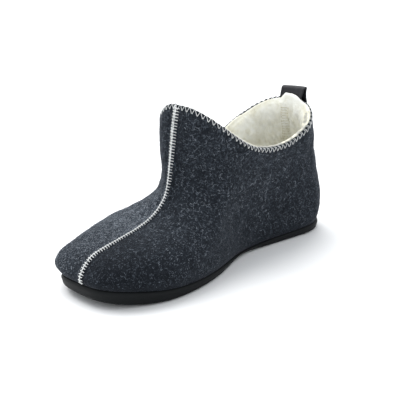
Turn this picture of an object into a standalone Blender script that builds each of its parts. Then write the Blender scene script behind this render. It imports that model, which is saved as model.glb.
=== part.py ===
"""Ankle-high felt slipper for the right foot: rubber outsole, hollow felt upper, pile insole and pull loop.

Sizes are in millimetres and become metres when a mesh is made. A station is a distance along the foot from
the back of the heel, a height is a distance above the floor. The toe points to -Y, and +X is the inner side
of the foot, called medial. The origin is on the floor, under the middle of the slipper's length and width.
"""

from collections import namedtuple

import bpy
import numpy as np

# Driving sizes
LENGTH = 264.0
WALL = 3.0
GAP = 0.3
MIDDLE_TO_ORIGIN = 6.5
TOE_SHIFT = -3.0
TOE_SHIFT_START = 0.4
HEEL_ROUND = 36.0
HEEL_FULLNESS = 2.2
TUCK_RISE = 14.0
FOOT_LEVEL = 28.0
SHAFT_LEVEL = 95.0
SEAM_RISE = 0.8
SEAM_COLUMNS = (-2.1, -1.3, 0.0, 1.3, 2.1)
INSOLE_INSET = WALL + 0.4
TOE_SPRING = 6.5
WAIST_RISE = 2.2
HEEL_BEVEL = 3.0
LOOP_WIDTH = 28.0
LOOP_OFFSET = 4.0
LOOP_THICKNESS = 1.6
LOOP_RISE = 10.2
LOOP_LEAN = 0.09
LOOP_LEAN_BACK = 4.2
LOOP_CURL = 1.3
LOOP_FOLD = 1.4
LOOP_OUTER_LEG = 15.0
LOOP_INNER_LEG = 10.0
MM = 0.001

# The middle line of the upper, from the toe's edge over the vamp and up the shin to the collar's peak
Front = namedtuple("Front", "place station height")
FRONT_LINE = [
    Front("toe edge", 262.5, 16.5),
    Front("toe nose", 264.0, 21.0),
    Front("toe brow", 255.0, 32.5),
    Front("toe top", 242.0, 37.5),
    Front("ball", 211.5, 43.5),
    Front("vamp", 187.5, 51.5),
    Front("instep", 175.0, 62.5),
    Front("throat", 169.5, 76.0),
    Front("shin", 163.0, 114.0),
    Front("peak", 158.0, 136.0),
]

# The back line of the heel, from the sole up to the collar
Back = namedtuple("Back", "place height station")
BACK_LINE = [
    Back("heel edge", 8.5, 2.6),
    Back("heel bulge", 26.0, 0.0),
    Back("heel neck", 60.0, 4.5),
    Back("ankle", 95.0, 12.0),
    Back("collar", 119.0, 17.0),
]

# Half widths of the foot on each side of the middle line
Foot = namedtuple("Foot", "place station medial lateral")
FOOT_SECTIONS = [
    Foot("heel", 0.0, 37.0, 33.0),
    Foot("heel front", 42.0, 34.0, 35.0),
    Foot("waist back", 82.0, 28.0, 39.0),
    Foot("waist", 114.0, 28.0, 43.0),
    Foot("waist front", 152.0, 41.5, 48.5),
    Foot("ball", 187.0, 50.5, 60.0),
    Foot("toe root", 217.0, 51.0, 59.0),
    Foot("toe", 264.0, 40.0, 57.5),
]

# Height of the upper's edge above the floor on each side, and how far the felt turns in above it
Edge = namedtuple("Edge", "place station medial lateral tuck")
EDGE_SECTIONS = [
    Edge("heel", 0.0, 8.5, 8.5, 3.0),
    Edge("heel front", 42.0, 7.2, 7.2, 3.0),
    Edge("waist back", 82.0, 5.8, 5.8, 3.0),
    Edge("waist", 114.0, 5.0, 5.0, 3.0),
    Edge("waist front", 152.0, 6.4, 6.4, 3.0),
    Edge("ball", 187.0, 7.9, 7.6, 3.0),
    Edge("toe root", 217.0, 10.2, 8.4, 3.6),
    Edge("toe side", 245.0, 14.2, 9.4, 5.4),
    Edge("toe", 262.5, 16.5, 16.5, 5.2),
]

# Half width of the shaft, the same on both sides
Shaft = namedtuple("Shaft", "place height half")
SHAFT_SECTIONS = [
    Shaft("instep", 40.0, 32.5),
    Shaft("ankle", 80.0, 36.0),
    Shaft("collar", 120.0, 39.5),
    Shaft("peak", 140.0, 34.5),
]

# How deep and how full the rounding is behind the middle line; share 0 is the toe, 1 the peak
Crown = namedtuple("Crown", "place share depth fullness")
CROWN_SECTIONS = [
    Crown("toe", 0.00, 37.0, 2.9),
    Crown("ball", 0.25, 32.5, 3.0),
    Crown("instep", 0.50, 27.5, 3.0),
    Crown("throat", 0.62, 29.0, 1.6),
    Crown("shin", 0.75, 47.0, 1.9),
    Crown("peak", 1.00, 36.0, 2.4),
]

# How far each side of the collar drops below a straight line from its back to its peak
Collar = namedtuple("Collar", "place share medial lateral")
COLLAR_SECTIONS = [
    Collar("back", 0.00, 0.0, 0.0),
    Collar("heel side", 0.25, 27.0, 27.0),
    Collar("ankle dip", 0.50, 35.5, 34.0),
    Collar("shin side", 0.75, 27.0, 28.0),
    Collar("peak side", 0.96, 5.0, 14.0),
    Collar("peak", 1.00, 0.0, 0.0),
]

# The two flat pads of the sole that stand on the floor
Pad = namedtuple("Pad", "place start end")
HEEL_PAD = Pad("heel", 16.0, 78.0)
BALL_PAD = Pad("ball", 150.0, 206.0)

# The side of the sole from its top edge down, as a share of its height and a step out from the upper's edge
Rim = namedtuple("Rim", "place share out")
SOLE_RIM = [
    Rim("top edge", 0.00, 0.2),
    Rim("lip", 0.10, 1.0),
    Rim("wall", 0.60, 0.8),
    Rim("foot", 0.88, -0.2),
    Rim("tread edge", 1.00, -1.8),
]

# The side of the insole from its top down: an inset from its outline and a height above the upper's edge
Bed = namedtuple("Bed", "place inset rise")
INSOLE_RIM = [
    Bed("top edge", 1.5, 5.0),
    Bed("corner", 0.45, 4.25),
    Bed("side", 0.0, 2.75),
    Bed("underside", 0.0, 0.5),
]

# How the upper's sections fan out from the toe to the collar, and how finely each piece is divided
TOE_BASE = 224.0
SECTIONS_TO_HEEL = 24
SECTIONS_TO_COLLAR = 15
HEEL_SHARE = 0.60
SAG_START = 0.45
SAG_POWER = 1.5
HEEL_POWER = 1.5
COLUMNS = 19
COLUMN_POWER = 2.2
FRONT_SAMPLES = 240
FRONT_REACH = 40.0
NUDGE = 1e-4
TINY = 1e-9
HALVINGS = 40
OUTLINE_STEPS = 40
LOOP_COLUMNS = 8
LOOP_LEG_STEPS = 3
LOOP_FOLD_STEPS = 8

MEDIAL, LATERAL = 1, -1


def spline(knots, values):
    """Smooth curve through the values at the knots, with ends that run out straight."""
    knots = np.asarray(knots, float)
    values = np.asarray(values, float)
    count = len(knots)
    step = np.diff(knots)
    system = np.eye(count)
    bend = np.zeros_like(values)
    for i in range(1, count - 1):
        system[i, i - 1 : i + 2] = step[i - 1], 2 * (step[i - 1] + step[i]), step[i]
        bend[i] = 6 * ((values[i + 1] - values[i]) / step[i] - (values[i] - values[i - 1]) / step[i - 1])
    bend = np.linalg.solve(system, bend)

    def curve(place):
        place = np.asarray(place, float)
        i = np.clip(np.searchsorted(knots, place) - 1, 0, count - 2)
        width = step[i]
        after = place - knots[i]
        before = knots[i + 1] - place
        if values.ndim > 1:
            width, after, before = width[..., None], after[..., None], before[..., None]
        cubes = (bend[i] * before**3 + bend[i + 1] * after**3) / (6 * width)
        start = (values[i] / width - bend[i] * width / 6) * before
        end = (values[i + 1] / width - bend[i + 1] * width / 6) * after
        return cubes + start + end

    return curve


def column_curve(rows, along, across):
    """Spline of one named column of a table against another."""
    return spline([getattr(row, along) for row in rows], [getattr(row, across) for row in rows])


def path_curve(rows):
    """Curve through a table's stations and heights, for shares from 0 to 1."""
    points = np.array([(row.station, row.height) for row in rows])
    spans = np.linalg.norm(np.diff(points, axis=0), axis=1) ** 0.5
    shares = np.concatenate([[0.0], np.cumsum(spans)])
    return spline(shares / shares[-1], points)


front_line = path_curve(FRONT_LINE)
back_station = column_curve(BACK_LINE, "height", "station")
edge_height = {
    MEDIAL: column_curve(EDGE_SECTIONS, "station", "medial"),
    LATERAL: column_curve(EDGE_SECTIONS, "station", "lateral"),
}
edge_tuck = column_curve(EDGE_SECTIONS, "station", "tuck")
foot_half = {
    MEDIAL: column_curve(FOOT_SECTIONS, "station", "medial"),
    LATERAL: column_curve(FOOT_SECTIONS, "station", "lateral"),
}
shaft_half = column_curve(SHAFT_SECTIONS, "height", "half")
crown_depth = column_curve(CROWN_SECTIONS, "share", "depth")
crown_fullness = column_curve(CROWN_SECTIONS, "share", "fullness")
collar_drop = {
    MEDIAL: column_curve(COLLAR_SECTIONS, "share", "medial"),
    LATERAL: column_curve(COLLAR_SECTIONS, "share", "lateral"),
}


def ease(share):
    """Goes smoothly from 0 to 1."""
    share = np.clip(share, 0, 1)
    return share * share * (3 - 2 * share)


def rounding(share, fullness):
    """Quarter of a rounded outline: 0 at its tip, 1 at its full width."""
    share = np.clip(share, 0, 1)
    return (1 - (1 - share) ** fullness) ** (1 / fullness)


def front_samples():
    """Shares and points along the front line, run on straight past both of its ends."""
    shares = np.linspace(0, 1, FRONT_SAMPLES)
    points = front_line(shares)
    first = points[0] - points[1]
    last = points[-1] - points[-2]
    start = points[0] + first / np.linalg.norm(first) * FRONT_REACH
    end = points[-1] + last / np.linalg.norm(last) * FRONT_REACH
    return np.concatenate([[0.0], shares, [1.0]]), np.concatenate([[start], points, [end]])


def depth_behind_front(station, height):
    """Distance behind the front line and the nearest share of it.

    Each short piece of the line counts by the inverse fourth power of its distance. Along a straight line
    that gives the plain distance, and round the toe it has no ridge.
    """
    shares, points = front_samples()
    start = points[:-1]
    piece = points[1:] - start
    size = np.linalg.norm(piece, axis=1)
    along = piece / size[:, None]
    offset = np.stack([station, height], -1)[..., None, :] - start
    before = (offset * along).sum(-1)
    across = np.abs(offset[..., 0] * along[:, 1] - offset[..., 1] * along[:, 0])
    beyond = np.maximum(np.maximum(-before, before - size), 0)
    across = np.maximum(np.maximum(across, beyond * NUDGE), TINY)

    def integral(distance):
        slope = distance / (2 * across**2 * (across**2 + distance**2))
        return slope + np.arctan(distance / across) / (2 * across**3)

    pull = np.maximum(integral(size - before) - integral(-before), 0)
    total = pull.sum(-1)
    middle = (shares[:-1] + shares[1:]) / 2
    nearest = (pull * middle).sum(-1) / total
    return (total * 2 / np.pi) ** (-1 / 3), nearest


def half_width(station, height, side):
    """Half width of the upper's outside at a station and height."""
    station, height = np.broadcast_arrays(np.asarray(station, float), np.asarray(height, float))
    depth, share = depth_behind_front(station, height)
    to_shaft = ease((height - FOOT_LEVEL) / (SHAFT_LEVEL - FOOT_LEVEL))
    full = (1 - to_shaft) * foot_half[side](station) + to_shaft * shaft_half(height)
    above_edge = np.clip((height - edge_height[side](station)) / TUCK_RISE, 0, 1)
    full = full - edge_tuck(station) * (1 - above_edge) ** 2
    front = rounding(depth / crown_depth(share), crown_fullness(share))
    back = rounding((station - back_station(height)) / HEEL_ROUND, HEEL_FULLNESS)
    return full * front * back


def middle_x(station):
    """Sideways place of the middle line, which leans over towards the toe."""
    return TOE_SHIFT * ease((station / LENGTH - TOE_SHIFT_START) / (1 - TOE_SHIFT_START))


def placed(x, station, height):
    """Points with x across, y along the slipper and z up, in millimetres."""
    x, station, height = np.broadcast_arrays(x, station, height)
    return np.stack([x + MIDDLE_TO_ORIGIN, LENGTH / 2 - station, height], -1)


def spread(start, end, steps):
    """Steps from start to end that are close together at both ends."""
    return start + (end - start) * (1 - np.cos(np.linspace(0, np.pi, steps + 1))) / 2


def heel_edge():
    """Station where the back line meets the upper's lower edge."""
    station = 0.0
    for _ in range(HALVINGS):
        station = float(back_station(edge_height[MEDIAL](station)))
    return station


def section_lines(side):
    """Stations and heights of the upper's sections on one side, a row for each, and their front line shares.

    Each section runs from a base point, on the sole's edge or on the back line, to a point of the front line.
    """
    stations = spread(TOE_BASE, heel_edge(), SECTIONS_TO_HEEL)
    low, high = edge_height[side](heel_edge()), BACK_LINE[-1].height
    heights = low + (high - low) * np.linspace(0, 1, SECTIONS_TO_COLLAR + 1)[1:] ** HEEL_POWER
    base = np.concatenate([
        np.stack([stations, edge_height[side](stations)], -1),
        np.stack([back_station(heights), heights], -1),
    ])
    shares = np.concatenate([
        np.linspace(0, HEEL_SHARE, SECTIONS_TO_HEEL + 1),
        np.linspace(HEEL_SHARE, 1, SECTIONS_TO_COLLAR + 1)[1:],
    ])
    columns = np.linspace(1, 0, COLUMNS + 1)
    down = columns**COLUMN_POWER / (columns**COLUMN_POWER + (1 - columns) ** COLUMN_POWER)
    up = 1 - down
    lines = base[:, None] + (front_line(shares) - base)[:, None] * up[:, None]
    sag = np.clip((shares - SAG_START) / (1 - SAG_START), 0, 1)[:, None] ** SAG_POWER
    lines[0, :, 1] = edge_height[side](lines[0, :, 0])
    lines[..., 1] -= sag * collar_drop[side](up)
    return lines, shares


def side_x(station, height, side):
    """Sideways place of the upper's outside."""
    return middle_x(station) + side * half_width(station, height, side)


def side_normals(station, height, side):
    """Directions straight out of the upper's side."""
    along = side_x(station + NUDGE, height, side) - side_x(station - NUDGE, height, side)
    up = side_x(station, height + NUDGE, side) - side_x(station, height - NUDGE, side)
    return unit(side * np.stack([np.full_like(along, 2 * NUDGE), along, -up], -1))


def front_normals(shares):
    """Directions straight out of the front line."""
    run = front_line(np.clip(shares + NUDGE, 0, 1)) - front_line(np.clip(shares - NUDGE, 0, 1))
    return unit(np.stack([np.zeros(len(run)), -run[:, 1], -run[:, 0]], -1))


def back_normals(heights):
    """Directions straight out of the back line."""
    run = back_station(heights + NUDGE) - back_station(heights - NUDGE)
    return unit(np.stack([np.zeros_like(run), np.full_like(run, 2 * NUDGE), run], -1))


def unit(vectors):
    """The vectors at a length of 1."""
    return vectors / np.linalg.norm(vectors, axis=-1, keepdims=True)


def upper_grid():
    """Points of the upper's smooth outside and directions out of it.

    There is a row for each section, with columns from the lateral base over the seam to the medial base.
    """
    points, normals = {}, {}
    for side in (MEDIAL, LATERAL):
        lines, shares = section_lines(side)
        station, height = lines[:, :-1, 0], lines[:, :-1, 1]
        points[side] = placed(side_x(station, height, side), station, height)
        normals[side] = side_normals(station, height, side)
        normals[side][SECTIONS_TO_HEEL:, 0] = back_normals(height[SECTIONS_TO_HEEL:, 0])
    front = front_line(shares)
    centre = middle_x(front[:, 0])
    seam = [placed(centre + offset, front[:, 0], front[:, 1])[:, None] for offset in SEAM_COLUMNS]
    seam_normals = [front_normals(shares)[:, None]] * len(SEAM_COLUMNS)
    return (
        np.concatenate([points[LATERAL], *seam, points[MEDIAL][:, ::-1]], axis=1),
        np.concatenate([normals[LATERAL], *seam_normals, normals[MEDIAL][:, ::-1]], axis=1),
    )


def upper_indices(rows, columns):
    """Vertex numbers of the grid, with both ends of each section above the heel joined at the back line."""
    numbers = np.arange(rows * columns).reshape(rows, columns)
    numbers[SECTIONS_TO_HEEL:, -1] = numbers[SECTIONS_TO_HEEL:, 0]
    return numbers


def grid_quads(numbers):
    """Faces of a grid of vertex numbers."""
    corners = numbers[:-1, :-1], numbers[:-1, 1:], numbers[1:, 1:], numbers[1:, :-1]
    return np.stack(corners, -1).reshape(-1, 4)


def material(name, colour, roughness):
    """Plain material of one colour."""
    made = bpy.data.materials.new(name)
    made.use_nodes = True
    shader = made.node_tree.nodes["Principled BSDF"]
    shader.inputs["Base Color"].default_value = (*colour, 1.0)
    shader.inputs["Roughness"].default_value = roughness
    shader.inputs["Metallic"].default_value = 0.0
    return made


def solid(name, points, faces, finish):
    """One closed object from points in millimetres and faces, with unused points left out."""
    used = sorted({int(i) for face in faces for i in face})
    place = {old: new for new, old in enumerate(used)}
    mesh = bpy.data.meshes.new(name)
    mesh.from_pydata((points[used] * MM).tolist(), [], [[place[int(i)] for i in face] for face in faces])
    mesh.validate()
    mesh.shade_smooth()
    mesh.materials.append(finish)
    made = bpy.data.objects.new(name, mesh)
    bpy.context.scene.collection.objects.link(made)
    return made


def ring_band(first, second):
    """Faces between two closed rings of vertex numbers."""
    return [(a, b, d, c) for a, b, c, d in zip(first, np.roll(first, -1), second, np.roll(second, -1))]


def upper_rim(numbers):
    """Closed ring of the lower edge: round the toe along the first section, then to the heel and back."""
    medial = numbers[1 : SECTIONS_TO_HEEL + 1, -1]
    lateral = numbers[1:SECTIONS_TO_HEEL, 0][::-1]
    return np.concatenate([numbers[0], medial, lateral])


def make_upper(finish):
    """The felt shell: an outside with the raised seam, a smooth inside one wall further in, and two edges."""
    smooth, normals = upper_grid()
    rows, columns = smooth.shape[:2]
    numbers = upper_indices(rows, columns)
    quads = grid_quads(numbers)
    outside = smooth.copy()
    middle = columns // 2
    outside[:, middle - 1 : middle + 2] += SEAM_RISE * normals[:, middle - 1 : middle + 2]
    outside[0, :, 2] = smooth[0, :, 2]
    inside = smooth - WALL * normals
    shift = rows * columns
    lower = upper_rim(numbers)
    collar = numbers[-1, :-1]
    faces = [tuple(quad) for quad in quads]
    faces += [tuple(quad[::-1] + shift) for quad in quads]
    faces += ring_band(lower + shift, lower)
    faces += ring_band(collar, collar + shift)
    points = np.concatenate([outside.reshape(-1, 3), inside.reshape(-1, 3)])
    return solid("upper", points, faces, finish)


def edge_outline():
    """Closed outline of the upper's lower edge: stations from heel to toe on the medial side, then back."""
    stations = spread(heel_edge(), FRONT_LINE[0].station, OUTLINE_STEPS)
    outline = []
    for side, run in ((MEDIAL, stations), (LATERAL, stations[-2:0:-1])):
        half = half_width(run, edge_height[side](run), side)
        outline.append(np.stack([middle_x(run) + side * half, run], -1))
    return np.concatenate(outline)


def outline_heights(outline):
    """Height of the upper's edge beside each point of an outline."""
    stations = np.clip(outline[:, 1], 0, LENGTH)
    medial = np.arange(len(outline)) <= OUTLINE_STEPS
    return np.where(medial, edge_height[MEDIAL](stations), edge_height[LATERAL](stations))


def stepped_out(outline, distance):
    """The outline moved sideways by a distance, outwards where that is positive."""
    run = np.roll(outline, -1, axis=0) - np.roll(outline, 1, axis=0)
    out = np.stack([run[:, 1], -run[:, 0]], -1)
    out /= np.linalg.norm(out, axis=1, keepdims=True)
    return outline + out * distance


def tread_height(station):
    """Height of the sole's underside: bevelled at the heel, flat pads, a raised waist and the toe spring."""
    heel = np.clip(1 - station / HEEL_PAD.start, 0, 2) ** 2 * HEEL_BEVEL
    along_waist = np.clip((station - HEEL_PAD.end) / (BALL_PAD.start - HEEL_PAD.end), 0, 1)
    waist = np.sin(np.pi * along_waist) ** 2 * WAIST_RISE
    toe = np.clip((station - BALL_PAD.end) / (LENGTH - BALL_PAD.end), 0, 2) ** 2 * TOE_SPRING
    return heel + waist + toe


def cap(ring, upward):
    """Strips of faces across a ring that runs from heel to toe and back."""
    steps = len(ring) // 2
    faces = []
    for i in range(steps):
        medial = ring[i], ring[i + 1]
        lateral = ring[-i], ring[-i - 1]
        corners = list(dict.fromkeys([*medial, lateral[1], lateral[0]]))
        faces.append(tuple(corners[::-1] if upward else corners))
    return faces


def stacked_rings(name, rings, finish):
    """Solid from closed rings laid from its top down to its bottom."""
    size = len(rings[0])
    numbers = [np.arange(size) + i * size for i in range(len(rings))]
    faces = cap(numbers[0], True) + cap(numbers[-1], False)
    for upper_ring, lower_ring in zip(numbers, numbers[1:]):
        faces += ring_band(upper_ring, lower_ring)
    return solid(name, np.concatenate(rings), faces, finish)


def make_outsole(finish):
    """Rubber sole whose outline follows the upper's edge, with a soft lip and a bevelled tread edge."""
    rings = []
    for rim in SOLE_RIM:
        outline = stepped_out(edge_outline(), rim.out)
        top = outline_heights(outline) - GAP
        height = top + (tread_height(outline[:, 1]) - top) * rim.share
        rings.append(placed(outline[:, 0], outline[:, 1], height))
    return stacked_rings("outsole", rings, finish)


def make_insole(finish):
    """Footbed inside the upper's edge, with a rounded upper corner."""
    rings = []
    for bed in INSOLE_RIM:
        outline = stepped_out(edge_outline(), -INSOLE_INSET - bed.inset)
        height = outline_heights(outline) + bed.rise
        rings.append(placed(outline[:, 0], outline[:, 1], height))
    return stacked_rings("insole", rings, finish)


def back_face(x, height):
    """Points of the upper's outside at its back, for one place across, and the directions out of them."""
    side = MEDIAL if x > 0 else LATERAL
    near = back_station(height)
    far = near + HEEL_ROUND
    for _ in range(HALVINGS):
        station = (near + far) / 2
        short = half_width(station, height, side) < abs(x)
        near = np.where(short, station, near)
        far = np.where(short, far, station)
    return placed(x, station, height), side_normals(station, height, side)


def loop_path():
    """Middle line of the strap from its outer to its inner end: places behind the felt's middle and rises."""
    apart = (WALL + LOOP_THICKNESS) / 2 + GAP
    bottom = LOOP_THICKNESS
    top = LOOP_RISE - LOOP_FOLD - LOOP_THICKNESS / 2
    share = np.linspace(0, 1, LOOP_LEG_STEPS + 1)
    turn = np.linspace(0, np.pi, LOOP_FOLD_STEPS + 1)
    free = np.stack([apart + (LOOP_FOLD - apart) * ease(share), bottom + (top - bottom) * share], -1)
    fold = np.stack([LOOP_FOLD * np.cos(turn), top + LOOP_FOLD * np.sin(turn)], -1)
    legs = []
    for length in (LOOP_OUTER_LEG, LOOP_INNER_LEG):
        rise = -length + (length + bottom) * share[:-1]
        legs.append(np.concatenate([np.stack([np.full_like(rise, apart), rise], -1), free[:-1]]))
    inner = legs[1][::-1] * (-1, 1)
    return np.concatenate([legs[0], fold, inner])


def loop_outline():
    """Closed outline of the folded strap: its outer face from end to end, then its inner face back."""
    path = loop_path()
    run = unit(np.gradient(path, axis=0))
    out = np.stack([run[:, 1], -run[:, 0]], -1) * LOOP_THICKNESS / 2
    start = path[:1] - run[:1] * LOOP_THICKNESS / 4
    end = path[-1:] + run[-1:] * LOOP_THICKNESS / 4
    outline = np.concatenate([start, path + out, end, (path - out)[::-1]])
    free = np.maximum(outline[:, 1] - LOOP_THICKNESS, 0) / (LOOP_RISE - LOOP_THICKNESS)
    outline[:, 0] += LOOP_LEAN_BACK * free**LOOP_CURL
    return outline


def make_pull_loop(finish):
    """Leather strap folded over the back of the collar, leaning back and higher at its medial end."""
    behind, rise = loop_outline().T
    rings = []
    for share in np.linspace(-1, 1, LOOP_COLUMNS + 1):
        lean = 1 + LOOP_LEAN * share
        height = BACK_LINE[-1].height + np.where(rise > 0, rise * lean, rise)
        points, out = back_face(LOOP_OFFSET + share * LOOP_WIDTH / 2, height)
        rings.append(points + out * (behind - WALL / 2)[:, None])
    return stacked_rings("pull_loop", rings, finish)


def build():
    """Clears the scene and makes each piece."""
    for old in list(bpy.data.objects):
        bpy.data.objects.remove(old, do_unlink=True)
    felt = material("charcoal_felt", (0.030, 0.034, 0.042), 0.95)
    rubber = material("black_rubber", (0.012, 0.013, 0.014), 0.6)
    pile = material("cream_pile", (0.80, 0.76, 0.66), 0.95)
    leather = material("black_leather", (0.014, 0.014, 0.015), 0.5)
    make_outsole(rubber)
    make_upper(felt)
    make_insole(pile)
    make_pull_loop(leather)


build()
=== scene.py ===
# %% [markdown]
# # A felt ankle slipper
# The frame brings four solids at their real size: outsole, upper, insole and pull loop. They have the right
# form but plain skins. Each step below makes one layer of the real slipper on top of that form: felt with
# its nap, sewing thread, fleece, leather and rubber. Sizes are worked out in millimetres and turned into
# the frame's metres when a mesh is made. The toe points to -Y and +X is the inner side of the right foot.

# %% Load the frame
from collections import namedtuple

import bpy
import numpy as np
from mathutils import Matrix, Vector


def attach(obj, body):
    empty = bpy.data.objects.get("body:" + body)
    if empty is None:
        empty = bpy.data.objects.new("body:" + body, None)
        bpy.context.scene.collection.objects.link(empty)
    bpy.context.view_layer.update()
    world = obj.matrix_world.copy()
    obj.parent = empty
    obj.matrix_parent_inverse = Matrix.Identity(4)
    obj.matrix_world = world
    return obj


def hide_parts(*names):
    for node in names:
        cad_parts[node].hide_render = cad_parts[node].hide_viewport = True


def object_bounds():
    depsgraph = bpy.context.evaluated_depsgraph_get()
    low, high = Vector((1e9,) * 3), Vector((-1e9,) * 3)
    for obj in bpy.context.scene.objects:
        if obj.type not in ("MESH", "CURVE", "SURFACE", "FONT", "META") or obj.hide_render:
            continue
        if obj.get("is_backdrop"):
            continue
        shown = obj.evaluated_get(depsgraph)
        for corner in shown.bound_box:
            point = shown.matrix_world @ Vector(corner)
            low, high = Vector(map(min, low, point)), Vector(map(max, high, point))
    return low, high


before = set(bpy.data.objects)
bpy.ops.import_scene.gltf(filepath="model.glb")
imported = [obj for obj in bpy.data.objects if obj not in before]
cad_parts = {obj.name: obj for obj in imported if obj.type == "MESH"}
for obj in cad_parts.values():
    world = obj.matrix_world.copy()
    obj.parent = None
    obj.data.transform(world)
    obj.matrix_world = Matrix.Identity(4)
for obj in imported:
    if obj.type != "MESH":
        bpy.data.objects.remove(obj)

CAD_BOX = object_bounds()
MM = 0.001


def in_mm(box):
    """Corners of a box in rounded millimetres."""
    return [[round(c / MM, 1) for c in corner] for corner in box]


print("solids in the frame:", sorted(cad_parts))
print("box in mm:", in_mm(CAD_BOX))

# %% [markdown]
# ## The last in tables
# A shoemaker builds on a last, and the last here is a handful of tables: the middle line over toe and shin,
# the back of the heel, half widths of foot and shaft, the roundness behind the middle line and the dip of
# the collar. They are the same sizes that the solids have. A mesh could be read from the solids instead,
# but the tables give a smooth surface at any fineness, and places on it that have a meaning.

# %% Sizes of the last
LENGTH, WALL, GAP = 264.0, 3.0, 0.3
MIDDLE_TO_ORIGIN, TOE_SHIFT, TOE_SHIFT_START = 6.5, -3.0, 0.4
HEEL_ROUND, HEEL_FULLNESS = 36.0, 2.2
TUCK_RISE = 14.0
FOOT_LEVEL, SHAFT_LEVEL = 28.0, 95.0

Front = namedtuple("Front", "place station height")
FRONT_LINE = [
    Front("toe edge", 262.5, 16.5),
    Front("toe nose", 264.0, 21.0),
    Front("toe brow", 255.0, 32.5),
    Front("toe top", 242.0, 37.5),
    Front("ball", 211.5, 43.5),
    Front("vamp", 187.5, 51.5),
    Front("instep", 175.0, 62.5),
    Front("throat", 169.5, 76.0),
    Front("shin", 163.0, 114.0),
    Front("peak", 158.0, 136.0),
]
Back = namedtuple("Back", "place height station")
BACK_LINE = [
    Back("heel edge", 8.5, 2.6),
    Back("heel bulge", 26.0, 0.0),
    Back("heel neck", 60.0, 4.5),
    Back("ankle", 95.0, 12.0),
    Back("collar", 119.0, 17.0),
]
Foot = namedtuple("Foot", "place station medial lateral")
FOOT_SECTIONS = [
    Foot("heel", 0.0, 37.0, 33.0),
    Foot("heel front", 42.0, 34.0, 35.0),
    Foot("waist back", 82.0, 28.0, 39.0),
    Foot("waist", 114.0, 28.0, 43.0),
    Foot("waist front", 152.0, 41.5, 48.5),
    Foot("ball", 187.0, 50.5, 60.0),
    Foot("toe root", 217.0, 51.0, 59.0),
    Foot("toe", 264.0, 40.0, 57.5),
]
Edge = namedtuple("Edge", "place station medial lateral tuck")
EDGE_SECTIONS = [
    Edge("heel", 0.0, 8.5, 8.5, 3.0),
    Edge("heel front", 42.0, 7.2, 7.2, 3.0),
    Edge("waist back", 82.0, 5.8, 5.8, 3.0),
    Edge("waist", 114.0, 5.0, 5.0, 3.0),
    Edge("waist front", 152.0, 6.4, 6.4, 3.0),
    Edge("ball", 187.0, 7.9, 7.6, 3.0),
    Edge("toe root", 217.0, 10.2, 8.4, 3.6),
    Edge("toe side", 245.0, 14.2, 9.4, 5.4),
    Edge("toe", 262.5, 16.5, 16.5, 5.2),
]
Shaft = namedtuple("Shaft", "place height half")
SHAFT_SECTIONS = [
    Shaft("instep", 40.0, 32.5),
    Shaft("ankle", 80.0, 36.0),
    Shaft("collar", 120.0, 39.5),
    Shaft("peak", 140.0, 34.5),
]
Crown = namedtuple("Crown", "place share depth fullness")
CROWN_SECTIONS = [
    Crown("toe", 0.00, 37.0, 2.9),
    Crown("ball", 0.25, 32.5, 3.0),
    Crown("instep", 0.50, 27.5, 3.0),
    Crown("throat", 0.62, 29.0, 1.6),
    Crown("shin", 0.75, 47.0, 1.9),
    Crown("peak", 1.00, 36.0, 2.4),
]
Collar = namedtuple("Collar", "place share medial lateral")
COLLAR_SECTIONS = [
    Collar("back", 0.00, 0.0, 0.0),
    Collar("heel side", 0.25, 27.0, 27.0),
    Collar("ankle dip", 0.50, 35.5, 34.0),
    Collar("shin side", 0.75, 27.0, 28.0),
    Collar("peak side", 0.96, 5.0, 14.0),
    Collar("peak", 1.00, 0.0, 0.0),
]
COLLAR_BACK = BACK_LINE[-1].height
MEDIAL, LATERAL = 1, -1
TABLES = [FRONT_LINE, BACK_LINE, FOOT_SECTIONS, EDGE_SECTIONS, SHAFT_SECTIONS, CROWN_SECTIONS,
          COLLAR_SECTIONS]
print("tables:", sum(map(len, TABLES)), "rows")

# %% [markdown]
# ## From tables to a surface
# A spline runs through each column of a table. The half width at a place is the foot's or the shaft's half
# width, rounded off towards the middle line in front and towards the back line behind. The roundings are
# superellipses, because their one number, the fullness, is easy to judge.

# %% Curves through the tables
NUDGE, TINY, HALVINGS = 1e-4, 1e-9, 40
FRONT_SAMPLES, FRONT_REACH = 240, 40.0


def spline(knots, values):
    """Smooth curve through the values at the knots."""
    knots, values = np.asarray(knots, float), np.asarray(values, float)
    count, step = len(knots), np.diff(knots)
    system, bend = np.eye(count), np.zeros_like(values)
    for i in range(1, count - 1):
        system[i, i - 1 : i + 2] = step[i - 1], 2 * (step[i - 1] + step[i]), step[i]
        bend[i] = 6 * ((values[i + 1] - values[i]) / step[i] - (values[i] - values[i - 1]) / step[i - 1])
    bend = np.linalg.solve(system, bend)

    def curve(place):
        place = np.asarray(place, float)
        i = np.clip(np.searchsorted(knots, place) - 1, 0, count - 2)
        width, after, before = step[i], place - knots[i], knots[i + 1] - place
        if values.ndim > 1:
            width, after, before = width[..., None], after[..., None], before[..., None]
        cubes = (bend[i] * before**3 + bend[i + 1] * after**3) / (6 * width)
        start = (values[i] / width - bend[i] * width / 6) * before
        end = (values[i + 1] / width - bend[i + 1] * width / 6) * after
        return cubes + start + end

    return curve


def column_curve(rows, along, across):
    """Spline of one named column of a table against another."""
    return spline([getattr(row, along) for row in rows], [getattr(row, across) for row in rows])


def side_curves(rows, along):
    """Splines of a table's medial and lateral columns."""
    return {MEDIAL: column_curve(rows, along, "medial"), LATERAL: column_curve(rows, along, "lateral")}


def path_curve(rows):
    """Curve through a table's stations and heights, for shares from 0 to 1."""
    points = np.array([(row.station, row.height) for row in rows])
    spans = np.linalg.norm(np.diff(points, axis=0), axis=1) ** 0.5
    shares = np.concatenate([[0.0], np.cumsum(spans)])
    return spline(shares / shares[-1], points)


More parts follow.
